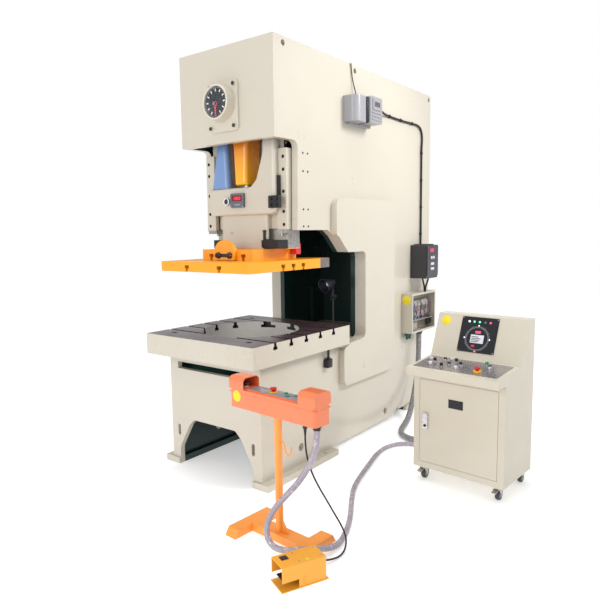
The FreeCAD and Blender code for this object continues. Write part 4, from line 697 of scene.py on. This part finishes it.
class PRESS_OT_conduits(bpy.types.Operator):
    """Both conduits and the foot switch's cable"""
    bl_idname = "press.conduits"
    bl_label = "Conduits"

    def execute(self, context):
        sizes = context.scene.press_conduit
        # The second colour of each skin is the colour of its painted glints.
        grey = conduit_skin("trunk_grey_skin", (0.13, 0.125, 0.135), (0.50, 0.49, 0.52))
        pale = conduit_skin("branch_pale_skin", (0.24, 0.21, 0.25), (0.78, 0.76, 0.82))
        rows = (("trunk", "trunk_conduit", TRUNK_ROUTE, sizes.trunk, grey),
                ("branch", "stand_conduit", CONDUIT_ROUTE, sizes.branch, pale))
        for name, node, route, diameter, skin in rows:
            piece, path, length = ribbed_tube(name + "_ribbed_conduit", route, diameter, sizes.pitch)
            fit(piece, skin, "press")
            smooth(piece, 60)
            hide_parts(node)
        cable = spline("foot_switch_cable", CABLE_ROUTE, sizes.cable / 2)
        length = even_points(centreline(CABLE_ROUTE), 0.004)[1]
        cable.data.materials.append(plastic("cable_black_sheath", (0.012, 0.012, 0.014), 0.3))
        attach(cable, "press")
        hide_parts("pedal_cable")
        return {"FINISHED"}


class PRESS_OT_paint(bpy.types.Operator):
    """Finish of every piece that comes from the model"""
    bl_idname = "press.paint"
    bl_label = "Paint"

    def execute(self, context):
        colours = context.scene.press_paint
        enamels = (
            ("cream_enamel", colours.cream, 0.34, "gib_left gib_right flywheel_guard"),
            ("junction_cream_enamel", tint(colours.cream, 0.92), 0.34, "junction_box"),
            ("orange_enamel", colours.orange, 0.34, "shank_clamp"),
            ("stand_orange_enamel", colours.stand, 0.34, "stand"),
            ("pedal_amber_enamel", colours.pedal, 0.34, "pedal_case"),
            ("box_orange_enamel", (0.82, 0.20, 0.075), 0.20, "control_box"),
            ("blue_enamel", colours.blue, 0.34, "adjusting_motor drive_motor"),
            ("grey_enamel", colours.grey, 0.34, "cam_switch"),
            ("dial_cream_enamel", tint(colours.cream, 1.05), 0.34, "dial_housing"),
            ("gauge_grey_enamel", (0.11, 0.12, 0.155), 0.34, "slide_gauges"),
            ("console_enamel", colours.console, 0.40, "console_cabinet console_door"),
            ("drive_black_enamel", (0.016, 0.015, 0.022), 0.30, "drive_box"),
            ("lamp_dark_enamel", (0.016, 0.016, 0.026), 0.25, "lamp_head"),
        )
        plastics = (
            ("belt_rubber", (0.012, 0.012, 0.012), 0.60, "v_belts foot_pedal side_loom"),
            ("terminal_grey_plastic", (0.42, 0.41, 0.38), 0.45, "terminal_strips"),
            ("display_black_plastic", (0.010, 0.011, 0.016), 0.22, "display_panel"),
            ("caster_grey_rubber", (0.045, 0.045, 0.055), 0.50,
             "caster_wheel_rear_left caster_wheel_rear_right front_caster_wheels"),
            ("palm_black_plastic", (0.012, 0.012, 0.013), 0.30, "palm_button_left palm_button_right"),
            ("stop_red_plastic", (0.55, 0.012, 0.012), 0.25, "stand_estop console_estop"),
            ("pointer_red_lacquer", (0.66, 0.05, 0.12), 0.30, "dial_pointer"),
            ("gland_black_plastic", (0.02, 0.02, 0.022), 0.40, "cord_fittings"),
        )
        steels = (
            ("ground_steel", (0.30, 0.29, 0.29), (0.55, 0.54, 0.53), (),
             "knockout_stops crankshaft ball_screw pinion_shaft"),
            ("turned_cast_iron", (0.06, 0.06, 0.065), (0.14, 0.14, 0.145), (18, (1, 6, 1), 0.45),
             "bull_gear flywheel motor_pulley"),
            ("handle_satin_chrome", (0.50, 0.50, 0.54), (0.75, 0.75, 0.80), (25, (1, 1, 6), 0.24),
             "door_handle"),
            ("zinc_plate", (0.42, 0.41, 0.40), (0.66, 0.65, 0.62), (),
             "caster_fork_rear_left caster_fork_rear_right front_caster_forks"),
            ("bronze_bush", (0.38, 0.20, 0.07), (0.60, 0.36, 0.14), (), "bearing_bushes ball_seat"),
            ("panel_brushed_steel", (0.26, 0.24, 0.25), (0.46, 0.43, 0.44),
             (55, (14, 1, 1), 0.26, 0.7), "button_panel"),
        )
        for name, shade, gloss, nodes in enamels:
            paint(enamel(name, tuple(shade), gloss), nodes)
        for name, shade, gloss, nodes in plastics:
            paint(plastic(name, shade, gloss), nodes)
        for name, dark, light, marks, nodes in steels:
            paint(worked_steel(name, dark, light, *marks), nodes)
        paint(plastic("black_oxide_steel", (0.014, 0.014, 0.015), 0.36, 300),
              "bolster_bolts gib_screws stroke_pointer lamp_arm knockout_bar desk_buttons")
        paint(frame_enamel(colours), "frame")
        paint(bolster_steel(colours), "bolster")
        paint(slide_enamel(colours), "slide")
        paint(die_plate_enamel(colours), "upper_die_plate")
        paint(rod_enamel(colours), "con_rod rod_cap")
        return {"FINISHED"}


def words(name, text, size, depth=0.0006):
    """Raised figures that lie in the XY plane, centred on the origin."""
    clear()
    bpy.ops.object.text_add()
    piece = bpy.context.object
    piece.data.body, piece.data.size, piece.data.extrude = text, size, depth
    piece.data.align_x, piece.data.align_y = "CENTER", "CENTER"
    piece.data.resolution_u = 3
    bpy.ops.object.convert(target="MESH")
    piece = bpy.context.object
    piece.name = piece.data.name = name
    return piece


def ring(name, centre, radius, thick, turn=(0, 0, 0), sides=40):
    clear()
    bpy.ops.mesh.primitive_torus_add(location=centre, rotation=turn, major_radius=radius,
                                     minor_radius=thick, major_segments=sides, minor_segments=8)
    piece = bpy.context.object
    piece.name = piece.data.name = name
    return settle(piece)


def wires(name, routes, diameter):
    """Several short leads as one meshed piece."""
    leads = []
    for route in routes:
        lead = spline(name, route, diameter / 2, 2)
        clear()
        lead.select_set(True)
        bpy.context.view_layer.objects.active = lead
        bpy.ops.object.convert(target="MESH")
        leads.append(bpy.context.object)
    return merge(name, leads)


def around(count, low, high):
    """Marks of a round scale, alike and evenly turned about the origin."""
    return [settle(block("mark", low, high, 0), Matrix.Rotation(2 * math.pi * k / count, 4, "Z"))
            for k in range(count)]


def heads(name, spots, *sizes):
    """Screw heads or caps on their points, all of one shape and one piece."""
    return merge(name, [drum(name, spot, *sizes) for spot in spots])


def dots(name, spots, radius, height, sides=24):
    """Small discs standing on their points along +Z."""
    return heads(name, spots, radius, height, "Z", sides, radius * 0.12)


def plain_dot(name, place, radius, where, axis="-Y"):
    """Plain yellow paper disc."""
    disc = drum(name, place, radius, 0.0008, axis, 40, 0.0002)
    yellow = bpy.data.materials.get("disc_yellow") or plastic("disc_yellow", (0.86, 0.70, 0.015), 0.45)
    return fit(disc, yellow, "press", where)


class PRESS_OT_dial(bpy.types.Operator):
    """Face, marks, rim and glass of the crank angle dial"""
    bl_idname = "press.dial"
    bl_label = "Crank dial"

    def execute(self, context):
        front, radius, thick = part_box("dial_housing")[0].y, 0.1045, 0.0012
        facing = standing((0, front + 0.010, 2.612), "X", math.pi / 2)
        black = plastic("dial_black_lacquer", (0.004, 0.004, 0.006), 0.60, 60, Specular_IOR_Level=0.12)
        white = plastic("dial_white_marks", (0.80, 0.80, 0.78), 0.5)
        face = drum("dial_face", (0, 0, 0), radius, thick, sides=64, bevel=0.0003)
        fit(face, black, "press", facing)
        marks = around(12, (-0.0042, 0.070, 0.0011), (0.0042, 0.089, 0.0018))
        marks += around(72, (-0.0007, 0.094, 0.0011), (0.0007, 0.099, 0.0017))
        fit(merge("dial_marks", marks), white, "press", facing)
        rim = ring("dial_rim", (0, 0, 0.0095), 0.1105, 0.0055, sides=64)
        cream = enamel("rim_cream_enamel", tint(context.scene.press_paint.cream, 1.2), 0.2)
        fit(rim, cream, "press", facing)
        pane = drum("dial_glass", (0, 0, 0.0082), radius, thick, sides=64, bevel=0.0003)
        fit(pane, clear_glass("dial_clear_glass"), "press", facing)
        corners = [(x, front + 0.0630, z) for x in (-0.110, 0.112) for z in (2.452, 2.730)]
        caps = heads("dial_screws", corners, 0.0135, 0.006, "-Y", 24, 0.0015, 0.0060, 0.004)
        fit(caps, plastic("dial_screw_black", (0.03, 0.03, 0.035), 0.3), "press")
        return {"FINISHED"}


class PRESS_OT_slide_trim(bpy.types.Operator):
    """Counter, oil sight, red stop and oil lines of the slide"""
    bl_idname = "press.slide_trim"
    bl_label = "Slide trim"

    def execute(self, context):
        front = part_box("slide_gauges")[0].y
        glow = glowing("counter_red_figures", (0.85, 0.04, 0.06), 1.6)
        back = plastic("counter_window", (0.22, 0.01, 0.02), 0.18)
        pane = block("counter_window", (-0.0645, front + 0.0015, 1.9515),
                     (0.0325, front + 0.0052, 1.9905), 0.0008)
        fit(pane, back, "slide")
        upright = standing((-0.016, front + 0.0012, 1.971), "X", math.pi / 2)
        fit(words("counter_figures", "158.0", 0.031), glow, "slide", upright)
        plate = block("counter_plate", (-0.047, front + 0.003, 1.9212),
                      (0.015, front + 0.006, 1.9308), 0.0006)
        fit(plate, plastic("counter_grey_plate", (0.40, 0.42, 0.48), 0.4), "slide")
        steel = worked_steel("trim_zinc", (0.34, 0.34, 0.35), (0.6, 0.6, 0.6))
        corners = [(x, front, z) for x in (-0.074, 0.042) for z in (1.912, 2.000)]
        fit(heads("counter_screws", corners, 0.0045, 0.003, "-Y", 16, 0.0008, 0.002, 0.0015), steel,
            "slide")
        lens = drum("oil_sight_lens", (-0.128, front + 0.010, 1.951), 0.0185, 0.004, "-Y", 32, 0.0015)
        fit(lens, plastic("sight_dark_glass", (0.03, 0.03, 0.06), 0.06), "slide")
        rim = ring("oil_sight_rim", (-0.128, front + 0.0065, 1.951), 0.0245, 0.0055, (math.pi / 2, 0, 0))
        fit(rim, enamel("sight_white_enamel", (0.72, 0.72, 0.72), 0.2), "slide")
        nuts = []
        for x in (-0.055, 0.055):
            nuts += [drum("washer", (x, -0.2630, 1.565), 0.024, 0.003, "-Y", 28, 0.0008),
                     drum("nut", (x, -0.2655, 1.565), 0.0205, 0.018, "-Y", 6, 0.002),
                     drum("stud", (x, -0.2830, 1.565), 0.0115, 0.009, "-Y", 20, 0.0015)]
        nuts.append(block("strap", (-0.078, -0.2665, 1.553), (0.078, -0.2625, 1.577), 0.001))
        oxide = plastic("nut_black_oxide", (0.028, 0.024, 0.03), 0.3)
        fit(merge("shank_nuts", nuts), oxide, "slide")
        stop = block("red_stop_block", (0.2455, 0.185, 1.560), (0.300, 0.243, 1.643), 0.004)
        sink(stop, lambda at, normal: normal.x > 0.9, 0.008, (-0.002, 0, 0))
        fit(stop, enamel("signal_red_enamel", (0.72, 0.02, 0.045)), "slide")
        plug = drum("neck_plug", (-0.125, -0.0502, 1.722), 0.009, 0.004, "-Y", 6, 0.001)
        fit(plug, steel, "slide")
        lines = [[(300 + 22 * k, 60, 2298), (300 + 22 * k, 40, 2322), (306 + 20 * k, 18, 2340),
                  (322 + 18 * k, 30, 2362), (330 + 16 * k, 70, 2380), (334 + 14 * k, 110, 2400)]
                 for k in range(3)]
        fit(wires("oil_lines", lines, 0.008), steel, "press")
        ends = [(0.300 + 0.022 * k, 0.060, 2.296) for k in range(3)]
        fit(heads("oil_line_nuts", ends, 0.009, 0.016, "Z", 6, 0.001), steel, "press")
        return {"FINISHED"}


class PRESS_OT_console(bpy.types.Operator):
    """Buttons, lamps, display, plates and rear louvres of the console"""
    bl_idname = "press.console"
    bl_label = "Console"

    def execute(self, context):
        chrome = worked_steel("chrome_bezel", (0.50, 0.50, 0.52), (0.80, 0.80, 0.82), 20, (1, 1, 1), 0.14)
        black = plastic("button_black", (0.012, 0.012, 0.012), 0.25)
        caps = {"green": (0.02, 0.30, 0.10), "white": (0.75, 0.75, 0.78), "black": (0.015, 0.015, 0.015)}
        bezels, grips, made = [], [], {kind: [] for kind in caps}
        for k, (across, back, kind) in enumerate(DESK_BUTTONS):
            x, y, odd = across / 1000, back / 1000, k % 2
            bezels.append(drum("bezel", (x, y, 0.0025), 0.0150, 0.007, "Z", 28, 0.0015, 0.0035, 0.001))
            made[kind].append(drum("cap", (x, y, 0.0088), 0.0112, 0.011 + 0.003 * odd, "Z", 24, 0.002))
            if k % 3 == 1:
                grips.append(block("grip", (x - 0.0095, y - 0.003, 0.018), (x + 0.0095, y + 0.003, 0.029),
                                   0.0015, (0, 0, math.radians(35 * odd + 20))))
        shown = fit(merge("button_bezels", bezels), chrome, "press", DESK)
        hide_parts("desk_buttons")
        fit(merge("selector_grips", grips), black, "press", DESK)
        for kind, group in made.items():
            fit(merge("button_caps_" + kind, group), plastic("cap_" + kind, caps[kind], 0.2), "press",
                DESK)
        collar = drum("stop_collar", (0.458, 0.104, 0.0025), 0.026, 0.0132, "Z", 40, 0.002, 0.0165, 0.002)
        fit(collar, plastic("collar_yellow", (0.85, 0.50, 0.02), 0.3), "press", DESK)
        spots = [(x, y, 0.0024) for x in (0.034, 0.320, 0.602) for y in (0.056, 0.298)]
        fit(heads("desk_panel_screws", spots, 0.0035, 0.002, "Z", 14, 0.0006), chrome, "press",
            DESK)
        self.display(chrome)
        self.door(black)
        louvres = [block("louvre", (x - 0.075, 0.4448, 0.62 + 0.032 * k),
                         (x + 0.075, 0.4500, 0.636 + 0.032 * k), 0.002)
                   for x in (0.19, 0.45) for k in range(6)]
        shade = enamel("louvre_enamel", tuple(context.scene.press_paint.console), 0.4)
        fit(merge("rear_louvres", louvres), shade, "press", CONSOLE)
        return {"FINISHED"}

    def display(self, chrome):
        """Lamps, ring scale and screen on the sloping panel."""
        face, middle = DISPLAY_FACE, Matrix.Translation((0.318, 0.150, 0))
        pale = (0.9, 0.92, 1.0)
        lamps = {"white": ((0.244,), pale), "green": ((0.281, 0.319), (0.15, 0.85, 0.45)),
                 "off": ((0.359,), (0.10, 0.10, 0.10)), "red": ((0.396,), (0.95, 0.08, 0.16))}
        for kind, (places, shade) in lamps.items():
            spots = [(x, 0.266, face) for x in places]
            fit(dots("display_lamp_" + kind, spots, 0.0075, 0.0035), glowing("lamp_" + kind, shade, 0.9),
                "press", SLOPE)
        marks = []
        for k in range(60):
            far = 0.091 if k % 5 == 0 else 0.088
            mark = block("mark", (-0.0011, 0.080, face - 0.0005), (0.0011, far, face + 0.0006), 0)
            marks.append(settle(mark, middle @ Matrix.Rotation(math.radians(6 * k), 4, "Z")))
        marks.append(ring("ring", (0.318, 0.150, face), 0.0775, 0.0012, sides=72))
        fit(merge("display_ring_scale", marks), glowing("scale_grey", (0.30, 0.31, 0.36), 0.25), "press",
            SLOPE)
        spots = [(0.318 + 0.090 * math.sin(a), 0.150 + 0.090 * math.cos(a), face)
                 for a in (0, math.pi / 2, -math.pi / 2)]
        fit(dots("display_ring_lamps", spots, 0.0045, 0.0025), glowing("ring_lamp_white", pale, 1.2),
            "press", SLOPE)
        fit(dots("display_ring_lamp_red", [(0.318, 0.060, face)], 0.0050, 0.0025),
            glowing("ring_lamp_red", (1.0, 0.2, 0.25), 1.2), "press", SLOPE)
        screen = block("display_screen", (0.272, 0.118, face - 0.001), (0.366, 0.176, face + 0.0012), 0.002)
        fit(screen, glowing("screen_grey_light", (0.50, 0.50, 0.56), 0.55), "press", SLOPE)
        rows = [block("row", (0.279, 0.126 + 0.011 * k, face + 0.001),
                      (0.330 + 0.008 * (k % 3), 0.131 + 0.011 * k, face + 0.0018), 0) for k in range(4)]
        fit(merge("display_screen_rows", rows), plastic("row_dark", (0.06, 0.06, 0.08), 0.4), "press",
            SLOPE)
        windows = (("display_red_window", (0.300, 0.186), (0.338, 0.203), "window_red",
                    (0.80, 0.05, 0.12), 1.2),
                   ("display_lower_window", (0.286, 0.090), (0.308, 0.104), "window_dim_red",
                    (0.45, 0.02, 0.04), 0.7))
        for name, low, high, light, shade, strength in windows:
            window = block(name, (*low, face - 0.001), (*high, face + 0.001), 0.0008)
            fit(window, glowing(light, shade, strength), "press", SLOPE)
        corners = [(x, y, 0.0038) for x in (0.196, 0.445) for y in (0.060, 0.292)]
        fit(dots("display_screws", corners, 0.0035, 0.002, 14), chrome, "press", SLOPE)

    def door(self, black):
        """Key escutcheon and the bare plate of the door, and the disc above."""
        plate = block("door_name_plate", (0.259, -0.0012, 0.555), (0.363, 0.0005, 0.614), 0.0005)
        sink(plate, lambda at, normal: normal.y < -0.9, 0.0025, (0, -0.0006, 0))
        fit(plate, plastic("plate_black", (0.012, 0.012, 0.02), 0.3), "console_door",
            CONSOLE)
        bezel = drum("door_key_escutcheon", (0.094, -0.0178, 0.404), 0.0095, 0.003, "-Y", 28, 0.0008,
                     0.004, 0.002)
        fit(bezel, black, "door_handle", CONSOLE)
        plain_dot("console_disc", (0.068, 0.258, -0.0002), 0.034, SLOPE, "Z")


class PRESS_OT_boxes(bpy.types.Operator):
    """Wiring and switches of the boxes on the frame's side"""
    bl_idname = "press.boxes"
    bl_label = "Side boxes"

    def execute(self, context):
        dice = random.Random(7)
        shades = {"white": (0.70, 0.70, 0.74), "red": (0.50, 0.03, 0.03),
                  "black": (0.012, 0.012, 0.014), "blue": (0.03, 0.09, 0.30)}
        for k, (name, shade) in enumerate(shades.items()):
            leads = []
            for j in range(5):
                y = 1625 + 82 * j + 18 * k
                start, end = 1072 - 100 * (j % 2), 918 + dice.randint(-8, 30)
                out = dice.randint(504, 520)
                middle = (start + end) / 2
                leads.append([(502, y, start), (out, y + dice.randint(-12, 12), start - 14),
                              (out + 8, y + dice.randint(-30, 30), middle + 12),
                              (out + 4, y + dice.randint(-40, 40), middle - 16),
                              (out, y + dice.randint(-20, 20), end - 16),
                              (506, y + dice.randint(-20, 20), end - 34)])
            fit(wires("terminal_leads_" + name, leads, 0.0055), plastic("lead_" + name, shade, 0.35),
                "press")
        coil = [ring("turn", (0.522 + 0.006 * k, 1.952 + 0.006 * (k % 2), 0.862 + 0.004 * (k % 3)),
                     0.040 - 0.002 * k, 0.0052, (0, math.pi / 2, 0)) for k in range(4)]
        fit(merge("spare_lead_coil", coil), plastic("coil_black", (0.012, 0.012, 0.013), 0.3), "press")
        spots = [(0.501, 1.6175 + 0.026 * k, z) for k in range(16) for z in (1.032, 1.058, 0.932, 0.958)]
        fit(heads("terminal_screws", spots, 0.0045, 0.0015, "X", 14, 0.0004),
            worked_steel("screw_bright", (0.5, 0.5, 0.48), (0.75, 0.75, 0.72)), "press")
        low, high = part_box("junction_box")
        plain_dot("junction_box_disc", (0.498, low.y - 0.0002, 1.092), 0.042, WORLD)
        socket = [block("socket", (0.4455, 0.312, 0.700), (0.492, 0.372, 0.768), 0.006),
                  drum("pipe", (0.472, 0.342, 0.766), 0.009, 0.087, "Z", 20, 0.001),
                  drum("nut", (0.472, 0.342, 0.766), 0.015, 0.014, "Z", 6, 0.0015)]
        fit(merge("bed_air_socket", socket), plastic("socket_black", (0.012, 0.012, 0.016), 0.35),
            "press")
        lip = block("junction_shelf", (0.450, low.y + 0.004, 0.895), (0.548, high.y - 0.004, 0.898), 0.0005)
        fit(lip, enamel("shelf_enamel", (0.34, 0.33, 0.31)), "press")
        glands = []
        for y in (1.615, 1.665):
            glands += [drum("nut", (0.480, y, 0.752), 0.019, 0.033, "Z", 6, 0.002),
                       drum("stem", (0.480, y, 0.722), 0.013, 0.034, "Z", 24, 0.002)]
        fit(merge("junction_glands", glands), plastic("gland_green", (0.015, 0.10, 0.075), 0.35), "press")
        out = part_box("drive_box")[1].x
        window = block("drive_red_window", (out - 0.001, 1.80, 1.527), (out + 0.001, 1.87, 1.556), 0.0006)
        fit(window, glowing("drive_window_red", (0.75, 0.02, 0.06), 1.0), "press")
        knobs = [drum("knob", (out, y, 1.475), 0.014, 0.010, "X", 20, 0.002) for y in (1.815, 1.86)]
        knobs += [block("rocker", (out - 0.001, 1.805, z), (out + 0.007, 1.87, z + 0.024), 0.002)
                  for z in (1.36, 1.405)]
        fit(merge("drive_knobs", knobs), plastic("knob_pale", (0.62, 0.64, 0.70), 0.3), "press")
        dark_steel = worked_steel("screw_dark", (0.2, 0.2, 0.2), (0.35, 0.35, 0.35))
        corners = [(out, y, z) for y in (1.752, 1.958) for z in (1.318, 1.572)]
        fit(heads("drive_lid_screws", corners, 0.005, 0.002, "X", 16, 0.0006), dark_steel, "press")
        black = plastic("cam_black", (0.015, 0.015, 0.018), 0.35)
        strap = block("cam_switch_strap", (0.448, 0.750, 2.549), (0.574, 0.767, 2.747), 0.004)
        lid = 0.5925
        vents = [block("vent", (lid, 0.822 + 0.018 * k, 2.680), (lid + 0.002, 0.832 + 0.018 * k, 2.718),
                       0.0008) for k in range(5)]
        riser = drum("riser_gland", (0.478, 0.745, 2.744), 0.013, 0.026, "Z", 6, 0.002)
        fit(merge("cam_switch_strap", [strap, riser] + vents), black, "press")
        corners = [(lid, y, z) for y in (0.810, 0.916) for z in (2.666, 2.730)]
        fit(heads("cam_lid_screws", corners, 0.005, 0.003, "X", 20, 0.001, 0.0025, 0.0015), dark_steel,
            "press")
        return {"FINISHED"}


class PRESS_OT_stand_trim(bpy.types.Operator):
    """Rims, panel and disc of the two-hand control"""
    bl_idname = "press.stand_trim"
    bl_label = "Stand trim"

    def execute(self, context):
        top = STAND_TOP
        grey = enamel("stand_panel_grey", (0.26, 0.25, 0.29), 0.2)
        panel = block("stand_top_panel", (-0.192, -0.044, top + 0.0055),
                      (0.192, 0.044, top + 0.0085), 0.001)
        fit(panel, grey, "press", STAND)
        collar = drum("stand_stop_collar", (-0.03, 0, top + 0.0085), 0.027, 0.0052, "Z", 40, 0.001,
                      0.017, 0.001)
        fit(collar, plastic("stand_collar_yellow", (0.85, 0.50, 0.02), 0.3), "press", STAND)
        chrome = bpy.data.materials["chrome_bezel"]
        rims = [ring("rim", (x, 0, top + 0.0082), 0.0235, 0.003) for x in (-0.262, 0.262)]
        fit(merge("palm_button_rims", rims), chrome, "press", STAND)
        lamps = [(x, 0.018 * (1 - 2 * (k % 2)), top + 0.0083) for k, x in enumerate((0.05, 0.09, 0.13))]
        fit(dots("stand_lamps", lamps, 0.011, 0.008),
            plastic("stand_lamp_green", (0.02, 0.25, 0.10), 0.15), "press", STAND)
        corners = [(x, y, top + 0.0083) for x in (-0.182, 0.182) for y in (-0.036, 0.036)]
        fit(heads("stand_panel_screws", corners, 0.0035, 0.002, "Z", 14, 0.0005), chrome, "press",
            STAND)
        plain_dot("stand_disc", (-0.262, -0.0652, 0.792), 0.033, STAND)
        seam = block("control_box_seam", (-0.3285, -0.0662, 0.812), (0.3285, 0.0662, 0.8145), 0.0008)
        fit(seam, bpy.data.materials["box_orange_enamel"], "press", STAND)
        return {"FINISHED"}


class PRESS_OT_pedal_trim(bpy.types.Operator):
    """Plate, disc and fasteners of the foot switch"""
    bl_idname = "press.pedal_trim"
    bl_label = "Foot switch trim"

    def execute(self, context):
        plate = block("pedal_plate", (0.018, 0.030, PEDAL_TOP), (0.058, 0.070, PEDAL_TOP + 0.0008),
                      0.0003)
        fit(plate, plastic("pedal_plate_black", (0.02, 0.02, 0.022), 0.3), "press", PEDAL)
        plain_dot("pedal_disc", (0.100, 0.150, PEDAL_TOP), 0.010, PEDAL, "Z")
        screws = [drum("screw", (x, y, PEDAL_TOP), 0.005, 0.0025, "Z", 6, 0.0006)
                  for x in (0.020, 0.102) for y in (0.105, 0.222)]
        screws += [drum("foot", (x, 0.246, 0.004), 0.006, 0.003, "Z", 6, 0.0006) for x in (0.008, 0.114)]
        fit(merge("pedal_screws", screws), bpy.data.materials["chrome_bezel"], "press",
            PEDAL)
        return {"FINISHED"}


class PRESS_OT_casters(bpy.types.Operator):
    """Hub caps of the four casters"""
    bl_idname = "press.casters"
    bl_label = "Caster hubs"

    def execute(self, context):
        grey = plastic("hub_grey", (0.20, 0.20, 0.22), 0.35)
        left, right, rear, front, axle = 0.055, 0.589, 0.422, 0.065, 0.0375
        spots = {"rear_left": (left, rear), "rear_right": (right, rear),
                 "front_left": (left, front), "front_right": (right, front)}
        for name, (x, y) in spots.items():
            hubs = []
            for side, turn in ((-1, math.pi), (1, 0)):
                hub = drum("hub", (0, 0, 0), 0.024, 0.0015, "X", 28, 0.0006, 0.008, 0.0008)
                hubs.append(settle(hub, standing((x + side * 0.0124, y, axle), "Z", turn)))
            body = name + "_wheel" if y == rear else "press"
            fit(merge("caster_hub_" + name, hubs), grey, body, CONSOLE)
        return {"FINISHED"}


class PRESS_OT_lamp(bpy.types.Operator):
    """Bulb and knob of the work lamp"""
    bl_idname = "press.lamp"
    bl_label = "Work lamp"

    def execute(self, context):
        shade = standing((0.250, 0.744, 1.315), "Z", math.radians(-12))
        shade = shade @ Matrix.Rotation(math.radians(105), 4, "X")
        clear()
        bpy.ops.mesh.primitive_uv_sphere_add(segments=24, ring_count=14, radius=0.024,
                                             location=(0, 0, 0.052))
        bulb = bpy.context.object
        bulb.name = "lamp_bulb"
        stem = drum("stem", (0, 0, 0.004), 0.012, 0.034, "Z", 24, 0.001)
        settle(bulb)
        fit(merge("lamp_bulb", [bulb, stem]), glowing("bulb_white", (0.8, 0.8, 0.75), 0.15), "lamp",
            shade)
        knob = drum("lamp_knob", (0.267, 0.738, 1.197), 0.012, 0.014, "X", 12, 0.002)
        fit(knob, bpy.data.materials["cam_black"], "press")
        return {"FINISHED"}


class PRESS_OT_ties(bpy.types.Operator):
    """Ties and clips of the loom on the frame's side"""
    bl_idname = "press.ties"
    bl_label = "Cable ties"

    def execute(self, context):
        black = bpy.data.materials["cam_black"]
        clips = []
        for z in (2.44, 2.19, 1.94, 1.69):
            clips.append(ring("clip", (0.458, 1.925, z), 0.0125, 0.003, sides=24))
            clips.append(block("foot", (0.446, 1.936, z - 0.006), (0.452, 1.955, z + 0.006), 0.001))
        for y, z in ((1.30, 2.691), (1.50, 2.687), (1.72, 2.688)):
            clips.append(ring("clip", (0.459, y, z), 0.0125, 0.003, (math.pi / 2, 0, 0), 24))
        fit(merge("loom_ties", clips), black, "press")
        return {"FINISHED"}


STEPS = [PRESS_OT_stage, PRESS_OT_conduits, PRESS_OT_paint, PRESS_OT_dial, PRESS_OT_slide_trim,
         PRESS_OT_console, PRESS_OT_boxes, PRESS_OT_stand_trim, PRESS_OT_pedal_trim, PRESS_OT_casters,
         PRESS_OT_lamp, PRESS_OT_ties]


class PRESS_PT_panel(bpy.types.Panel):
    """Every step of the press's finish"""
    bl_label = "Stamping Press"
    bl_idname = "PRESS_PT_panel"
    bl_space_type = "VIEW_3D"
    bl_region_type = "UI"
    bl_category = "Press"

    def draw(self, context):
        for step in STEPS:
            self.layout.operator(step.bl_idname)
        for group in (context.scene.press_camera, context.scene.press_paint, context.scene.press_conduit):
            for key in group.bl_rna.properties.keys():
                if key not in ("rna_type", "name"):
                    self.layout.prop(group, key)


GROUPS = {"press_camera": PRESS_PG_camera, "press_paint": PRESS_PG_paint, "press_conduit": PRESS_PG_conduit}


def register():
    for group in GROUPS.values():
        bpy.utils.register_class(group)
    for name, group in GROUPS.items():
        setattr(bpy.types.Scene, name, PointerProperty(type=group))
    for step in STEPS + [PRESS_PT_panel]:
        bpy.utils.register_class(step)


def unregister():
    for step in [PRESS_PT_panel] + STEPS[::-1]:
        bpy.utils.unregister_class(step)
    for name, group in GROUPS.items():
        delattr(bpy.types.Scene, name)
        bpy.utils.unregister_class(group)


def main():
    register()
    for step in STEPS:
        family, name = step.bl_idname.split(".")
        getattr(getattr(bpy.ops, family), name)()


if __name__ == "__main__":
    main()
